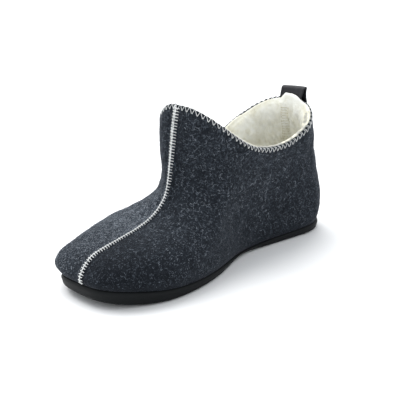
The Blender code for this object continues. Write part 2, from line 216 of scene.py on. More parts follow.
front_line = path_curve(FRONT_LINE)
back_station = column_curve(BACK_LINE, "height", "station")
edge_height = side_curves(EDGE_SECTIONS, "station")
edge_tuck = column_curve(EDGE_SECTIONS, "station", "tuck")
foot_half = side_curves(FOOT_SECTIONS, "station")
shaft_half = column_curve(SHAFT_SECTIONS, "height", "half")
crown_depth = column_curve(CROWN_SECTIONS, "share", "depth")
crown_fullness = column_curve(CROWN_SECTIONS, "share", "fullness")
collar_drop = side_curves(COLLAR_SECTIONS, "share")
print("the middle line's highest point is", front_line(1.0)[1], "mm up")

# %% Units and roundings


def unit(vectors):
    """The vectors at a length of 1."""
    return vectors / np.maximum(np.linalg.norm(vectors, axis=-1, keepdims=True), TINY)


def ease(share):
    """Goes smoothly from 0 to 1."""
    share = np.clip(share, 0, 1)
    return share * share * (3 - 2 * share)


def rounding(share, fullness):
    """Quarter of a rounded outline: 0 at its tip, 1 at its full width."""
    return (1 - (1 - np.clip(share, 0, 1)) ** fullness) ** (1 / fullness)


print("halfway in, the heel has", round(float(rounding(0.5, HEEL_FULLNESS)), 2), "of its full width")

# %% Distance behind the front line
BALL = 187.0, 30.0


def front_samples():
    """Shares and points along the front line, run on straight past both of its ends."""
    shares = np.linspace(0, 1, FRONT_SAMPLES)
    points = front_line(shares)
    start = points[0] + unit(points[0] - points[1]) * FRONT_REACH
    end = points[-1] + unit(points[-1] - points[-2]) * FRONT_REACH
    return np.concatenate([[0.0], shares, [1.0]]), np.concatenate([[start], points, [end]])


def depth_behind_front(station, height):
    """Distance behind the front line and the nearest share of it, softened so that no ridge shows."""
    shares, points = front_samples()
    start, piece = points[:-1], np.diff(points, axis=0)
    size = np.linalg.norm(piece, axis=1)
    along = piece / size[:, None]
    offset = np.stack([station, height], -1)[..., None, :] - start
    before = (offset * along).sum(-1)
    across = np.abs(offset[..., 0] * along[:, 1] - offset[..., 1] * along[:, 0])
    beyond = np.maximum(np.maximum(-before, before - size), 0)
    across = np.maximum(np.maximum(across, beyond * NUDGE), TINY)

    def integral(distance):
        slope = distance / (2 * across**2 * (across**2 + distance**2))
        return slope + np.arctan(distance / across) / (2 * across**3)

    pull = np.maximum(integral(size - before) - integral(-before), 0)
    total = pull.sum(-1)
    nearest = (pull * (shares[:-1] + shares[1:]) / 2).sum(-1) / total
    return (total * 2 / np.pi) ** (-1 / 3), nearest


print("the side of the ball is", round(float(depth_behind_front(*BALL)[0]), 1), "mm behind the front line")

# %% Half widths and normals


def half_width(station, height, side):
    """Half width of the upper's outside at a station and height."""
    station, height = np.broadcast_arrays(np.asarray(station, float), np.asarray(height, float))
    depth, share = depth_behind_front(station, height)
    to_shaft = ease((height - FOOT_LEVEL) / (SHAFT_LEVEL - FOOT_LEVEL))
    full = (1 - to_shaft) * foot_half[side](station) + to_shaft * shaft_half(height)
    above_edge = np.clip((height - edge_height[side](station)) / TUCK_RISE, 0, 1)
    full = full - edge_tuck(station) * (1 - above_edge) ** 2
    front = rounding(depth / crown_depth(share), crown_fullness(share))
    back = rounding((station - back_station(height)) / HEEL_ROUND, HEEL_FULLNESS)
    return full * front * back


def middle_x(station):
    """Sideways place of the middle line, which leans over towards the toe."""
    return TOE_SHIFT * ease((station / LENGTH - TOE_SHIFT_START) / (1 - TOE_SHIFT_START))


def side_x(station, height, side):
    """Sideways place of the upper's outside."""
    return middle_x(station) + side * half_width(station, height, side)


def placed(x, station, height):
    """Points in millimetres in the frame: x across, y along the slipper, z up."""
    x, station, height = np.broadcast_arrays(x, station, height)
    return np.stack([x + MIDDLE_TO_ORIGIN, LENGTH / 2 - station, height], -1)


def side_normals(station, height, side):
    """Directions straight out of the upper's side."""
    along = side_x(station + NUDGE, height, side) - side_x(station - NUDGE, height, side)
    up = side_x(station, height + NUDGE, side) - side_x(station, height - NUDGE, side)
    return unit(side * np.stack([np.full_like(along, 2 * NUDGE), along, -up], -1))


print("ball width", round(float(half_width(*BALL, MEDIAL) + half_width(*BALL, LATERAL)), 1), "mm")

# %% [markdown]
# ## Sections that fan over the last
# The upper is laid out in sections that start along the sole's edge, then climb the back of the heel, and
# all end on the middle line. So rows of the grid run round the foot like the felt's own cut, the top row is
# the collar and the middle columns are the front seam. The columns crowd together near the seam, because
# the surface turns fastest there. On the outer side the rim is lifted a little behind the ankle, because
# the cloth edge stands higher there in the photo than an even dip would give.

# %% The grid of the upper
TOE_BASE, HEEL_SHARE = 224.0, 0.60
SAG_START, SAG_POWER, HEEL_POWER, COLUMN_POWER, COLUMN_STOP = 0.45, 1.5, 1.5, 2.2, 0.035
RIM_LIFT, RIM_LIFT_PLACE, RIM_LIFT_REACH = {MEDIAL: 0.0, LATERAL: 4.0}, 0.27, 0.11
SEAM_OFFSETS = np.linspace(-2.8, 2.8, 11)
Surface = namedtuple("Surface", "points normals station height across up to_heel")


def spread(start, end, steps):
    """Steps from start to end that are close together at both ends."""
    return start + (end - start) * (1 - np.cos(np.linspace(0, np.pi, steps + 1))) / 2


def heel_edge():
    """Station where the back line meets the upper's lower edge."""
    station = 0.0
    for _ in range(HALVINGS):
        station = float(back_station(edge_height[MEDIAL](station)))
    return station


def section_lines(side, to_heel, to_collar, columns):
    """Stations and heights of the sections on one side, shares of the front line, and shares up them."""
    stations = spread(TOE_BASE, heel_edge(), to_heel)
    low = edge_height[side](heel_edge())
    heights = low + (COLLAR_BACK - low) * np.linspace(0, 1, to_collar + 1)[1:] ** HEEL_POWER
    base = np.concatenate([np.stack([stations, edge_height[side](stations)], -1),
                           np.stack([back_station(heights), heights], -1)])
    shares = np.concatenate([np.linspace(0, HEEL_SHARE, to_heel + 1),
                             np.linspace(HEEL_SHARE, 1, to_collar + 1)[1:]])
    column = np.linspace(1, COLUMN_STOP, columns)
    up = 1 - column**COLUMN_POWER / (column**COLUMN_POWER + (1 - column) ** COLUMN_POWER)
    lines = base[:, None] + (front_line(shares) - base)[:, None] * up[:, None]
    lines[0, :, 1] = edge_height[side](lines[0, :, 0])
    sag = np.clip((shares - SAG_START) / (1 - SAG_START), 0, 1)[:, None] ** SAG_POWER
    lift = RIM_LIFT[side] * np.exp(-(((up - RIM_LIFT_PLACE) / RIM_LIFT_REACH) ** 2))
    lines[..., 1] -= sag * (collar_drop[side](up) - lift)
    return lines, shares, up


print("the heel's edge is at station", round(heel_edge(), 1), "mm")

# %% Both sides and the seam in one grid


def last_surface(to_heel, to_collar, columns):
    """The last as a grid: rows are sections, columns run from the lateral base over the seam."""
    halves = {}
    for side in (LATERAL, MEDIAL):
        lines, shares, up = section_lines(side, to_heel, to_collar, columns)
        station, height = lines[..., 0], lines[..., 1]
        normals = side_normals(station, height, side)
        lift = back_station(height[to_heel:, 0] + NUDGE) - back_station(height[to_heel:, 0] - NUDGE)
        behind = [np.zeros_like(lift), np.full_like(lift, 2 * NUDGE), lift]
        normals[to_heel:, 0] = unit(np.stack(behind, -1))
        x = side_x(station, height, side)
        up = np.broadcast_to(up, station.shape)
        halves[side] = [placed(x, station, height), normals, station, height, x - middle_x(station), up]
    front = front_line(shares)
    run = front_line(np.clip(shares + NUDGE, 0, 1)) - front_line(np.clip(shares - NUDGE, 0, 1))
    out = unit(np.stack([np.zeros(len(run)), -run[:, 1], -run[:, 0]], -1))
    wide = np.ones((len(shares), len(SEAM_OFFSETS)))
    station, height = front[:, :1] * wide, front[:, 1:] * wide
    seam = [placed(middle_x(station) + SEAM_OFFSETS, station, height), out[:, None] * wide[..., None],
            station, height, SEAM_OFFSETS * wide, wide]
    parts = zip(halves[LATERAL], seam, halves[MEDIAL])
    return Surface(*[np.concatenate([a, b, c[:, ::-1]], axis=1) for a, b, c in parts], to_heel)


felt_last = last_surface(to_heel=96, to_collar=60, columns=146)
print("felt grid:", felt_last.points.shape[:2], "rows and columns")

# %% [markdown]
# ## Small helpers for meshes
# Every piece is a mesh made from arrays of points and faces. A shell joins a fine visible side to a coarse
# hidden side, so that each layer is a closed body with a real thickness and the hidden side costs little.

# %% Meshes from arrays
triangle_counts = {}


def piece(name, points, faces, finish, slot=None, tones=None):
    """A smooth mesh piece from points in millimetres, riding on the slipper's one body."""
    mesh = bpy.data.meshes.new(name)
    mesh.from_pydata((np.asarray(points) * MM).tolist(), [], [tuple(map(int, face)) for face in faces])
    mesh.shade_smooth()
    mesh.materials.append(finish)
    if tones is not None:
        layer = mesh.attributes.new("tone", "FLOAT", "POINT")
        layer.data.foreach_set("value", np.asarray(tones, np.float32))
    made = bpy.data.objects.new(name, mesh)
    bpy.context.scene.collection.objects.link(made)
    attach(made, "root")
    triangle_counts[name] = sum(len(face) - 2 for face in faces)
    print(f"{name}: {len(points)} points, {triangle_counts[name]} triangles")
    return made


def grid_quads(numbers):
    """Faces of a grid of vertex numbers."""
    corners = numbers[:-1, :-1], numbers[:-1, 1:], numbers[1:, 1:], numbers[1:, :-1]
    return np.stack(corners, -1).reshape(-1, 4)


def ring_band(first, second):
    """Faces between two closed rings of vertex numbers."""
    return np.stack([first, np.roll(first, -1), np.roll(second, -1), second], -1)


print("the felt's grid has", len(grid_quads(felt_last.height)), "faces")

# %% Shells and uneven fields


def shell(front, back, rims, to_heel, every=6):
    """Points and faces of a layer on the last: a fine front, a back with only some rows, and rims between.

    Both grids are closed behind the heel, and open below along the sole's edge, where a strip joins them.
    """
    rows, columns = front.shape[:2]
    kept = sorted({*range(0, to_heel + 1, every), to_heel, *range(to_heel, rows, every), rows - 1})
    front_numbers = np.arange(rows * columns).reshape(rows, columns)
    front_numbers[to_heel:, -1] = front_numbers[to_heel:, 0]
    back_numbers = rows * columns + np.arange(len(kept) * columns).reshape(len(kept), columns)
    heel_row = kept.index(to_heel)
    back_numbers[heel_row:, -1] = back_numbers[heel_row:, 0]
    faces = list(grid_quads(front_numbers)) + [face[::-1] for face in grid_quads(back_numbers)]
    points = [front.reshape(-1, 3), back[kept].reshape(-1, 3)]
    ring = front_numbers[-1, :-1]
    start = rows * columns + len(kept) * columns
    for rim in rims:
        following = start + np.arange(columns - 1)
        faces += list(ring_band(ring, following))
        points.append(rim[:-1])
        ring, start = following, start + columns - 1
    faces += list(ring_band(ring, back_numbers[-1, :-1]))
    faces += [(a, b, d, c) for a, b, c, d in
              zip(back_numbers[0], back_numbers[0, 1:], front_numbers[0], front_numbers[0, 1:])]
    for i in range(heel_row):
        run = list(range(kept[i], kept[i + 1] + 1))
        faces.append((*front_numbers[run, 0], *back_numbers[[i + 1, i], 0]))
        faces.append((*front_numbers[run[::-1], -1], *back_numbers[[i, i + 1], -1]))
    return np.concatenate(points), faces


WAVE_SPREAD = 0.7, 1.5


def ripple(points, size, seed, waves=28):
    """Smooth uneven field of about unit strength: waves of about one size in all directions."""
    draw = np.random.default_rng(seed)
    directions = unit(draw.normal(size=(waves, 3)))
    turns = 2 * np.pi / (size * draw.uniform(*WAVE_SPREAD, waves))
    phases = points @ (directions * turns[:, None]).T + draw.uniform(0, 2 * np.pi, waves)
    return np.sin(phases).sum(-1) / waves**0.5


print("ripple strength:", round(float(ripple(felt_last.points, 10.0, 1).std()), 2))

# %% [markdown]
# ## Shader groups that several finishes share
# Felt, fleece and thread are all wool or cotton fibres. Felt, fleece, leather, rubber and the floor are all
# a little uneven in tone, and leather and rubber share a fine grain. These effects are node groups, built
# once. They give only values, and the shader itself stays in each material. A ridged noise draws thin
# bright lines, which look like single fibres when the noise is also distorted.

# %% Fibre web


def add_node(tree, kind, **settings):
    """A shader node with its properties and input values set by name."""
    node = tree.nodes.new(kind)
    for key, value in settings.items():
        if key in node.inputs:
            node.inputs[key].default_value = value
        else:
            setattr(node, key, value)
    return node


def node_group(name, inputs, outputs):
    """An empty shader group with named number inputs and outputs, and its two end nodes."""
    tree = bpy.data.node_groups.new(name, "ShaderNodeTree")
    for label, value in inputs.items():
        socket = tree.interface.new_socket(label, in_out="INPUT", socket_type="NodeSocketFloat")
        socket.default_value = value
    for label in outputs:
        tree.interface.new_socket(label, in_out="OUTPUT", socket_type="NodeSocketFloat")
    return tree, tree.nodes.new("NodeGroupInput"), tree.nodes.new("NodeGroupOutput")


def fibre_web_group():
    """Tangled thin fibres: a mask of bright strands and a height for bump."""
    tree, given, result = node_group("fibre_web", {"Scale": 600.0, "Tangle": 2.0}, ["Strands", "Height"])
    place = add_node(tree, "ShaderNodeTexCoord")
    ridges = add_node(tree, "ShaderNodeTexNoise", noise_type="RIDGED_MULTIFRACTAL", Detail=3.0,
                      Roughness=0.6, Lacunarity=2.1)
    soft = add_node(tree, "ShaderNodeTexNoise", Detail=2.0)
    mask = add_node(tree, "ShaderNodeMapRange", interpolation_type="SMOOTHSTEP")
    mask.inputs["From Min"].default_value = 0.55
    mask.inputs["From Max"].default_value = 1.35
    blend = add_node(tree, "ShaderNodeMath", operation="MULTIPLY_ADD")
    blend.inputs[1].default_value = 0.7
    for texture in (ridges, soft):
        tree.links.new(place.outputs["Object"], texture.inputs["Vector"])
        tree.links.new(given.outputs["Scale"], texture.inputs["Scale"])
        tree.links.new(given.outputs["Tangle"], texture.inputs["Distortion"])
    tree.links.new(ridges.outputs["Fac"], mask.inputs["Value"])
    tree.links.new(mask.outputs["Result"], blend.inputs[0])
    tree.links.new(soft.outputs["Fac"], blend.inputs[2])
    tree.links.new(mask.outputs["Result"], result.inputs["Strands"])
    tree.links.new(blend.outputs["Value"], result.inputs["Height"])
    return tree


FIBRE_WEB = fibre_web_group()
print("made", FIBRE_WEB.name)

# %% Uneven tone and pebble grain


def uneven_tone_group():
    """Soft patches of two sizes, from 0 to 1."""
    tree, given, result = node_group("uneven_tone", {"Scale": 60.0, "Contrast": 1.0}, ["Tone"])
    place = add_node(tree, "ShaderNodeTexCoord")
    patches = add_node(tree, "ShaderNodeTexNoise", Detail=4.0, Roughness=0.6)
    shift = add_node(tree, "ShaderNodeMath", operation="SUBTRACT")
    shift.inputs[1].default_value = 0.5
    stretch = add_node(tree, "ShaderNodeMath", operation="MULTIPLY_ADD", use_clamp=True)
    stretch.inputs[2].default_value = 0.5
    tree.links.new(place.outputs["Object"], patches.inputs["Vector"])
    tree.links.new(given.outputs["Scale"], patches.inputs["Scale"])
    tree.links.new(patches.outputs["Fac"], shift.inputs[0])
    tree.links.new(shift.outputs["Value"], stretch.inputs[0])
    tree.links.new(given.outputs["Contrast"], stretch.inputs[1])
    tree.links.new(stretch.outputs["Value"], result.inputs["Tone"])
    return tree


def pebble_grain_group():
    """Fine pebbles for moulded rubber and leather, as a height for bump."""
    tree, given, result = node_group("pebble_grain", {"Scale": 900.0, "Softness": 0.5}, ["Height"])
    place = add_node(tree, "ShaderNodeTexCoord")
    cells = add_node(tree, "ShaderNodeTexVoronoi", feature="SMOOTH_F1")
    tree.links.new(place.outputs["Object"], cells.inputs["Vector"])
    tree.links.new(given.outputs["Scale"], cells.inputs["Scale"])
    tree.links.new(given.outputs["Softness"], cells.inputs["Smoothness"])
    tree.links.new(cells.outputs["Distance"], result.inputs["Height"])
    return tree


UNEVEN_TONE, PEBBLE_GRAIN = uneven_tone_group(), pebble_grain_group()
print("groups:", [tree.name for tree in bpy.data.node_groups])

# %% Materials start from one helper


def start_material(name, roughness, specular=0.5, sheen=0.0, sheen_tint=(1, 1, 1), sheen_spread=0.55):
    """A material, its node tree and its Principled shader, with the values that are the same all over."""
    made = bpy.data.materials.new(name)
    made.use_nodes = True
    tree = made.node_tree
    shader = tree.nodes["Principled BSDF"]
    shader.inputs["Roughness"].default_value = roughness
    shader.inputs["Sheen Weight"].default_value = sheen
    shader.inputs["Sheen Roughness"].default_value = sheen_spread
    shader.inputs["Sheen Tint"].default_value = (*sheen_tint, 1.0)
    shader.inputs["Specular IOR Level"].default_value = specular
    return made, tree, shader


def use_group(tree, group, **values):
    """Places a shared group in a material with its own input values."""
    node = tree.nodes.new("ShaderNodeGroup")
    node.node_tree = group
    for key, value in values.items():
        node.inputs[key].default_value = value
    return node


def base_colour(tree, shader, source, stops):
    """Base colour from a value, through stops of (value, colour)."""
    ramp = tree.nodes.new("ShaderNodeValToRGB")
    while len(ramp.color_ramp.elements) < len(stops):
        ramp.color_ramp.elements.new(1.0)
    for element, (place, colour) in zip(ramp.color_ramp.elements, stops):
        element.position = place
        element.color = (*colour, 1.0)
    tree.links.new(source, ramp.inputs["Fac"])
    tree.links.new(ramp.outputs["Color"], shader.inputs["Base Color"])


def bump(tree, shader, height, strength, distance):
    """Bump from a height in shares of a distance in millimetres."""
    node = add_node(tree, "ShaderNodeBump", Strength=strength, Distance=distance * MM)
    tree.links.new(height, node.inputs["Height"])
    tree.links.new(node.outputs["Normal"], shader.inputs["Normal"])


def mixed_value(tree, first, second, share):
    """Two values added, the second at a share of its strength."""
    node = add_node(tree, "ShaderNodeMath", operation="MULTIPLY_ADD")
    node.inputs[1].default_value = share
    tree.links.new(second, node.inputs[0])
    tree.links.new(first, node.inputs[2])
    return node.outputs["Value"]


print("helpers ready")

# %% [markdown]
# ## Felt
# The felt is boiled wool in a charcoal mixture: nearly black, blue-grey and light fibres pressed together.
# From a step away it reads as fine mottling. The colour comes from the fibre web over slow patches of tone,
# the sheen gives the soft light edge that every woolly cloth has, and the bump lifts the strands a little.
# A tone kept on the mesh paints in light and shade: lighter where the felt faces the light, darker in shade.

# %% Felt material
WOOL_TONES = [(0.0, (0.0085, 0.0102, 0.0132)), (0.40, (0.026, 0.0312, 0.039)),
              (0.75, (0.075, 0.087, 0.105)), (1.0, (0.172, 0.191, 0.216))]
WOOL = dict(roughness=0.95, specular=0.06, sheen=0.2, sheen_tint=(0.75, 0.8, 0.9), sheen_spread=0.3)
FINE_SHARE, PATCH_SHARE, PAINTED_LIGHT_SHARE, FELT_GAIN, FINE_RELIEF = 0.5, 0.6, 0.4, 0.45, 0.6


def felt_material():
    """Charcoal wool mixture with bright and dark fibres, and light and shade painted in by its tone."""
    made, tree, shader = start_material("charcoal_felt", **WOOL)
    web = use_group(tree, FIBRE_WEB, Scale=330.0, Tangle=1.6)
    fine = use_group(tree, FIBRE_WEB, Scale=900.0, Tangle=2.5)
    patches = use_group(tree, UNEVEN_TONE, Scale=120.0, Contrast=2.0)
    # The mesh's tone is painted light and shade.
    painted_light = add_node(tree, "ShaderNodeAttribute", attribute_name="tone")
    strands = mixed_value(tree, web.outputs["Strands"], fine.outputs["Strands"], FINE_SHARE)
    amount = mixed_value(tree, strands, patches.outputs["Tone"], PATCH_SHARE)
    amount = mixed_value(tree, amount, painted_light.outputs["Fac"], PAINTED_LIGHT_SHARE)
    scaled = add_node(tree, "ShaderNodeMath", operation="MULTIPLY")
    scaled.inputs[1].default_value = FELT_GAIN
    tree.links.new(amount, scaled.inputs[0])
    base_colour(tree, shader, scaled.outputs["Value"], WOOL_TONES)
    relief = mixed_value(tree, web.outputs["Height"], fine.outputs["Height"], FINE_RELIEF)
    bump(tree, shader, relief, strength=0.8, distance=0.6)
    return made


FELT = felt_material()
print("made", FELT.name)

# %% [markdown]
# ## Soft folds in the felt
# Felt of three millimetres doesn't crease sharply. It has broad hollows and swells where the foot bends: in
# front of the ankle, over the instep and round the heel. They are listed as short lines on the side of the
# last, each with a width and a depth. A cloth simulation would give other folds than this slipper has. The
# painted spots are round places, each with a reach and an amount: painted light above nought, painted shade
# below it.

# %% Troughs and swells
Fold = namedtuple("Fold", "place side station height to_station to_height width depth")
FOLDS = [
    Fold("front hollow", MEDIAL, 164, 80, 150, 66, 11, -1.1),
    Fold("instep swell", MEDIAL, 168, 58, 158, 48, 11, 0.7),
    Fold("ankle trough", MEDIAL, 146, 62, 128, 40, 9, -0.8),
    Fold("ankle swell", MEDIAL, 112, 66, 96, 58, 13, 0.9),
    Fold("heel hollow", MEDIAL, 72, 26, 48, 16, 10, -0.9),
    Fold("heel fold", MEDIAL, 40, 66, 22, 52, 8, -0.6),
    Fold("vamp swell", MEDIAL, 222, 34, 200, 38, 12, 0.6),
    Fold("shaft ripple", MEDIAL, 140, 104, 120, 84, 10, -0.6),
    Fold("front hollow", LATERAL, 165, 78, 146, 62, 11, -1.1),
    Fold("ankle swell", LATERAL, 112, 66, 92, 60, 14, 0.9),
    Fold("ankle trough", LATERAL, 140, 58, 116, 34, 9, -0.8),
    Fold("vamp swell", LATERAL, 216, 36, 196, 38, 13, 0.6),
    Fold("heel fold", LATERAL, 44, 64, 24, 50, 8, -0.6),
    Fold("waist hollow", LATERAL, 110, 22, 80, 18, 9, -0.6),
]
PaintedLight = namedtuple("PaintedLight", "place side station height reach amount")
# Painted light and shade as round spots: lighter where the felt faces the light, darker in shade.
PAINTED_LIGHTS = [
    PaintedLight("ankle", MEDIAL, 105, 62, 30, 0.12),
    PaintedLight("instep", MEDIAL, 163, 56, 20, 0.10),
    PaintedLight("vamp", MEDIAL, 208, 42, 22, 0.20),
    PaintedLight("toe front", MEDIAL, 254, 24, 26, -0.45),
    PaintedLight("toe side", MEDIAL, 232, 28, 32, -0.45),
    PaintedLight("heel hollow", MEDIAL, 61, 20, 22, -0.25),
    PaintedLight("shaft", MEDIAL, 128, 96, 24, -0.12),
    PaintedLight("ankle", LATERAL, 105, 62, 30, 0.20),
    PaintedLight("instep", LATERAL, 166, 58, 20, 0.45),
    PaintedLight("vamp", LATERAL, 198, 44, 30, 1.35),
    PaintedLight("toe", LATERAL, 250, 32, 24, 0.45),
]
print(len(FOLDS), "folds and", len(PAINTED_LIGHTS), "painted_light_spots")

# %% Relief of the felt
SEAM_RISE, SEAM_WIDTH, SEAM_FLAT, SEAM_SHADE, SEAM_SHADE_WIDTH = 0.9, 1.7, 9.0, 0.3, 4.0
SEAM_GUTTER, GUTTER_PLACE, GUTTER_WIDTH = 0.45, 5.0, 2.2
FELT_UNEVEN, UNEVEN_SIZE, FELT_LUMPS, LUMP_SIZE = 0.22, 16.0, 0.10, 6.0
FRONT_HALF, SOLE_HOLD = 0.5, 7.0


def distance_to_line(station, height, fold):
    """Distance from places on the side of the last to a fold's line."""
    start, end = np.array([fold.station, fold.height]), np.array([fold.to_station, fold.to_height])
    place = np.stack([station, height], -1) - start
    share = np.clip((place @ (end - start)) / ((end - start) @ (end - start)), 0, 1)
    return np.linalg.norm(place - share[..., None] * (end - start), axis=-1)


def above_sole(last):
    """Height of a surface above the edge of the sole on its side."""
    edges = [edge_height[side](last.station) for side in (MEDIAL, LATERAL)]
    return last.height - np.where(last.across > 0, *edges)


def felt_relief(last):
    """How far the felt stands off the last, in millimetres."""
    relief = FELT_UNEVEN * ripple(last.points, UNEVEN_SIZE, 3)
    relief += FELT_LUMPS * ripple(last.points, LUMP_SIZE, 4)
    for fold in FOLDS:
        near = np.exp(-((distance_to_line(last.station, last.height, fold) / fold.width) ** 2))
        relief += np.where(last.across * fold.side > 0, fold.depth * near, 0)
    across = np.abs(last.across)
    ridge = SEAM_RISE * np.exp(-((across / SEAM_WIDTH) ** 2))
    gutter = SEAM_GUTTER * np.exp(-(((across - GUTTER_PLACE) / GUTTER_WIDTH) ** 2))
    relief = relief * (1 - np.exp(-((across / SEAM_FLAT) ** 2)) * (last.up > FRONT_HALF))
    relief += np.where(last.up > FRONT_HALF, ridge - gutter, 0)
    return relief * ease(above_sole(last) / SOLE_HOLD)


def paint_felt_light(last):
    """Painted light and shade: lighter where the felt faces the light, darker in shade and by the seam."""
    painted_light = np.zeros_like(last.height)
    for lit_spot in PAINTED_LIGHTS:
        away = np.hypot(last.station - lit_spot.station, last.height - lit_spot.height) / lit_spot.reach
        painted_light += np.where(last.across * lit_spot.side > 0, lit_spot.amount * np.exp(-(away**2)), 0)
    # Painted shade: a dark line beside the front seam, on the front half.
    beside_seam = (np.abs(last.across) - GUTTER_PLACE) / SEAM_SHADE_WIDTH
    return painted_light - SEAM_SHADE * np.exp(-(beside_seam**2)) * (last.up > FRONT_HALF)


felt_painted_light, felt_raised = paint_felt_light(felt_last), felt_relief(felt_last)
felt_points = felt_last.points + felt_raised[..., None] * felt_last.normals


def grid_normals(points, like):
    """Normals of a grid of points, on the same side as another set of directions."""
    normals = unit(np.cross(np.gradient(points, axis=0), np.gradient(points, axis=1)))
    return normals * np.sign((normals * like).sum(-1, keepdims=True))


felt_normals = grid_normals(felt_points, felt_last.normals)
print("felt relief from", felt_raised.min().round(2), "to", felt_raised.max().round(2), "mm")

# %% [markdown]
# ## The felt shell
# The two side panels are one shell here, with the felt's own thickness. A Solidify modifier could give
# the thickness, but a shell from two grids can have a coarse hidden side. At the collar the cut edge is
# rounded, and the sewing pinches it at the stitches, so it rises in small scallops between them. The same
# pitch serves the thread later on.

# %% Felt upper
COLLAR_PITCH = 4.9
RIM_STEPS, RIM_SWELL, SCALLOPS = 6, 0.1, {MEDIAL: 0.4, LATERAL: 1.1}


def run_length(points):
    """Length along a line of points, up to each of them."""
    return np.concatenate([[0.0], np.cumsum(np.linalg.norm(np.diff(points, axis=0), axis=1))])


collar_run = run_length(felt_points[-1])
collar_up = unit(felt_points[-1] - felt_points[-3])
COLLAR_STITCHES = round(collar_run[-1] / COLLAR_PITCH)
collar_phase = collar_run / collar_run[-1] * COLLAR_STITCHES
scallop = np.where(felt_last.across[-1] > 0, SCALLOPS[MEDIAL], SCALLOPS[LATERAL])
scallop = scallop * np.abs(np.sin(np.pi * collar_phase))


def collar_rims(outside, inside, up, swell):
    """Rings of points over a collar edge from its outside to its inside, in a flat arch."""
    rings = []
    for turn in np.linspace(0, np.pi, RIM_STEPS + 2)[1:-1]:
        share = (1 - np.cos(turn)) / 2
        rings.append(outside + (inside - outside) * share + up * (swell * np.sin(turn))[:, None])
    return rings


felt_inside = felt_last.points - WALL * felt_last.normals
felt_rims = collar_rims(felt_points[-1], felt_inside[-1], collar_up, RIM_SWELL + scallop)
upper_points, upper_faces = shell(felt_points, felt_inside, felt_rims, felt_last.to_heel)
# The felt's outer points carry its painted light and shade as their tone.
upper_tones = np.concatenate([felt_painted_light.ravel(), np.zeros(len(upper_points) - felt_painted_light.size)])
felt_upper = piece("felt_upper", upper_points, upper_faces, FELT, "felt", upper_tones)
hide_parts("upper")
print("collar", round(collar_run[-1]), "mm round,", COLLAR_STITCHES, "stitches")

# %% [markdown]
# ## Nap
# What makes felt look like wool at its outline is the nap: single fibres that lie on it and curl off it.
# They are thin ribbons in joined meshes, made from arrays, because tens of thousands of separate objects
# would stall the scene. A tone for each fibre, kept on its points, lets one material colour them all.

# %% Fibres on a surface
FIBRE_WAVE, FIBRE_ROOT, FIBRE_BLUNT, FIBRE_BELLY = 0.35, 0.05, 0.35, (0.1, 0.95)


def scatter(grid, count, seed):
    """Random places on a grid, even by area: points, and the grid's row and column below each."""
    draw = np.random.default_rng(seed)
    first = np.cross(grid[1:, :-1] - grid[:-1, :-1], grid[:-1, 1:] - grid[:-1, :-1])
    area = np.linalg.norm(first, axis=-1)
    picked = draw.choice(area.size, count, p=area.ravel() / area.sum())
    row, column = np.unravel_index(picked, area.shape)
    down, along = draw.uniform(size=(2, count, 1))
    upper = grid[row, column] * (1 - along) + grid[row, column + 1] * along
    lower = grid[row + 1, column] * (1 - along) + grid[row + 1, column + 1] * along
    return upper * (1 - down) + lower * down, row, column


def fibre_ribbons(roots, normals, lengths, lifts, curls, widths, steps, seed):
    """Thin ribbons that start in the surface, run along it, curl and rise: points and faces."""
    draw = np.random.default_rng(seed)
    heading = unit(np.cross(normals, draw.normal(size=roots.shape)))
    aside = np.cross(normals, heading)
    share = np.linspace(0, 1, steps + 1)[None, :, None]
    turn = curls[:, None, None] * share * 2
    run = lengths[:, None, None] * share
    line = roots[:, None] + heading[:, None] * run * np.cos(turn) + aside[:, None] * run * np.sin(turn)
    wave = draw.uniform(0, np.pi, len(roots))[:, None, None]
    rise = lifts[:, None, None] * (share + FIBRE_WAVE * np.sin(3 * share + wave))
    line += normals[:, None] * (rise - FIBRE_ROOT)
    ahead = unit(np.gradient(line, axis=1))
    belly = np.linspace(*FIBRE_BELLY, steps + 1)[None, :, None]
    taper = (FIBRE_BLUNT + np.sin(np.pi * belly)) / 2
    broad = unit(np.cross(ahead, normals[:, None])) * widths[:, None, None] * taper
    points = np.stack([line - broad, line + broad], axis=2).reshape(-1, 3)
    first = np.arange(len(roots))[:, None] * (steps + 1) * 2 + np.arange(steps) * 2
    faces = np.stack([first, first + 1, first + 3, first + 2], -1).reshape(-1, 4)
    return points, faces


def nap_material():
    """Wool fibres from nearly black to light grey, by their own tone with painted light and shade added."""
    made, tree, shader = start_material("felt_nap", **WOOL)
    tone = add_node(tree, "ShaderNodeAttribute", attribute_name="tone")
    base_colour(tree, shader, tone.outputs["Fac"], WOOL_TONES)
    return made


NAP = nap_material()
print("made", NAP.name)

# %% [markdown]
# ## Locks, flecks and single hairs
# There are three kinds of fibre here. Locks are small flat bundles that lie on the felt and give it the
# mottled look. Flecks are shorter and fill the gaps between them. Single hairs are much thinner and stand
# off, so they blur the outline. All take the painted light and shade of the felt below them, and they
# are short at the collar and at the sole, where sewing and glue hold the cloth.

# %% Nap on the felt
Fibres = namedtuple("Fibres", "name count seed short long thin wide low high steps")
NAP_LAYERS = [
    Fibres("felt_locks", 30000, 11, 1.4, 3.1, 0.18, 0.50, 0.05, 0.30, 3),
    Fibres("felt_flecks", 32000, 13, 0.9, 1.9, 0.18, 0.42, 0.05, 0.25, 2),
    Fibres("felt_hairs", 20000, 12, 1.2, 3.0, 0.07, 0.12, 0.30, 1.30, 2),
]
HELD_ROWS, HELD_HEIGHT, HELD_LEAST, NAP_CURL = 6.0, 6.0, 0.15, 1.1
TONE_SHAPE, PAINTED_LIGHT_GAIN, PAINTED_LIGHT_SHIFT = (0.8, 1.3), 0.9, 0.2


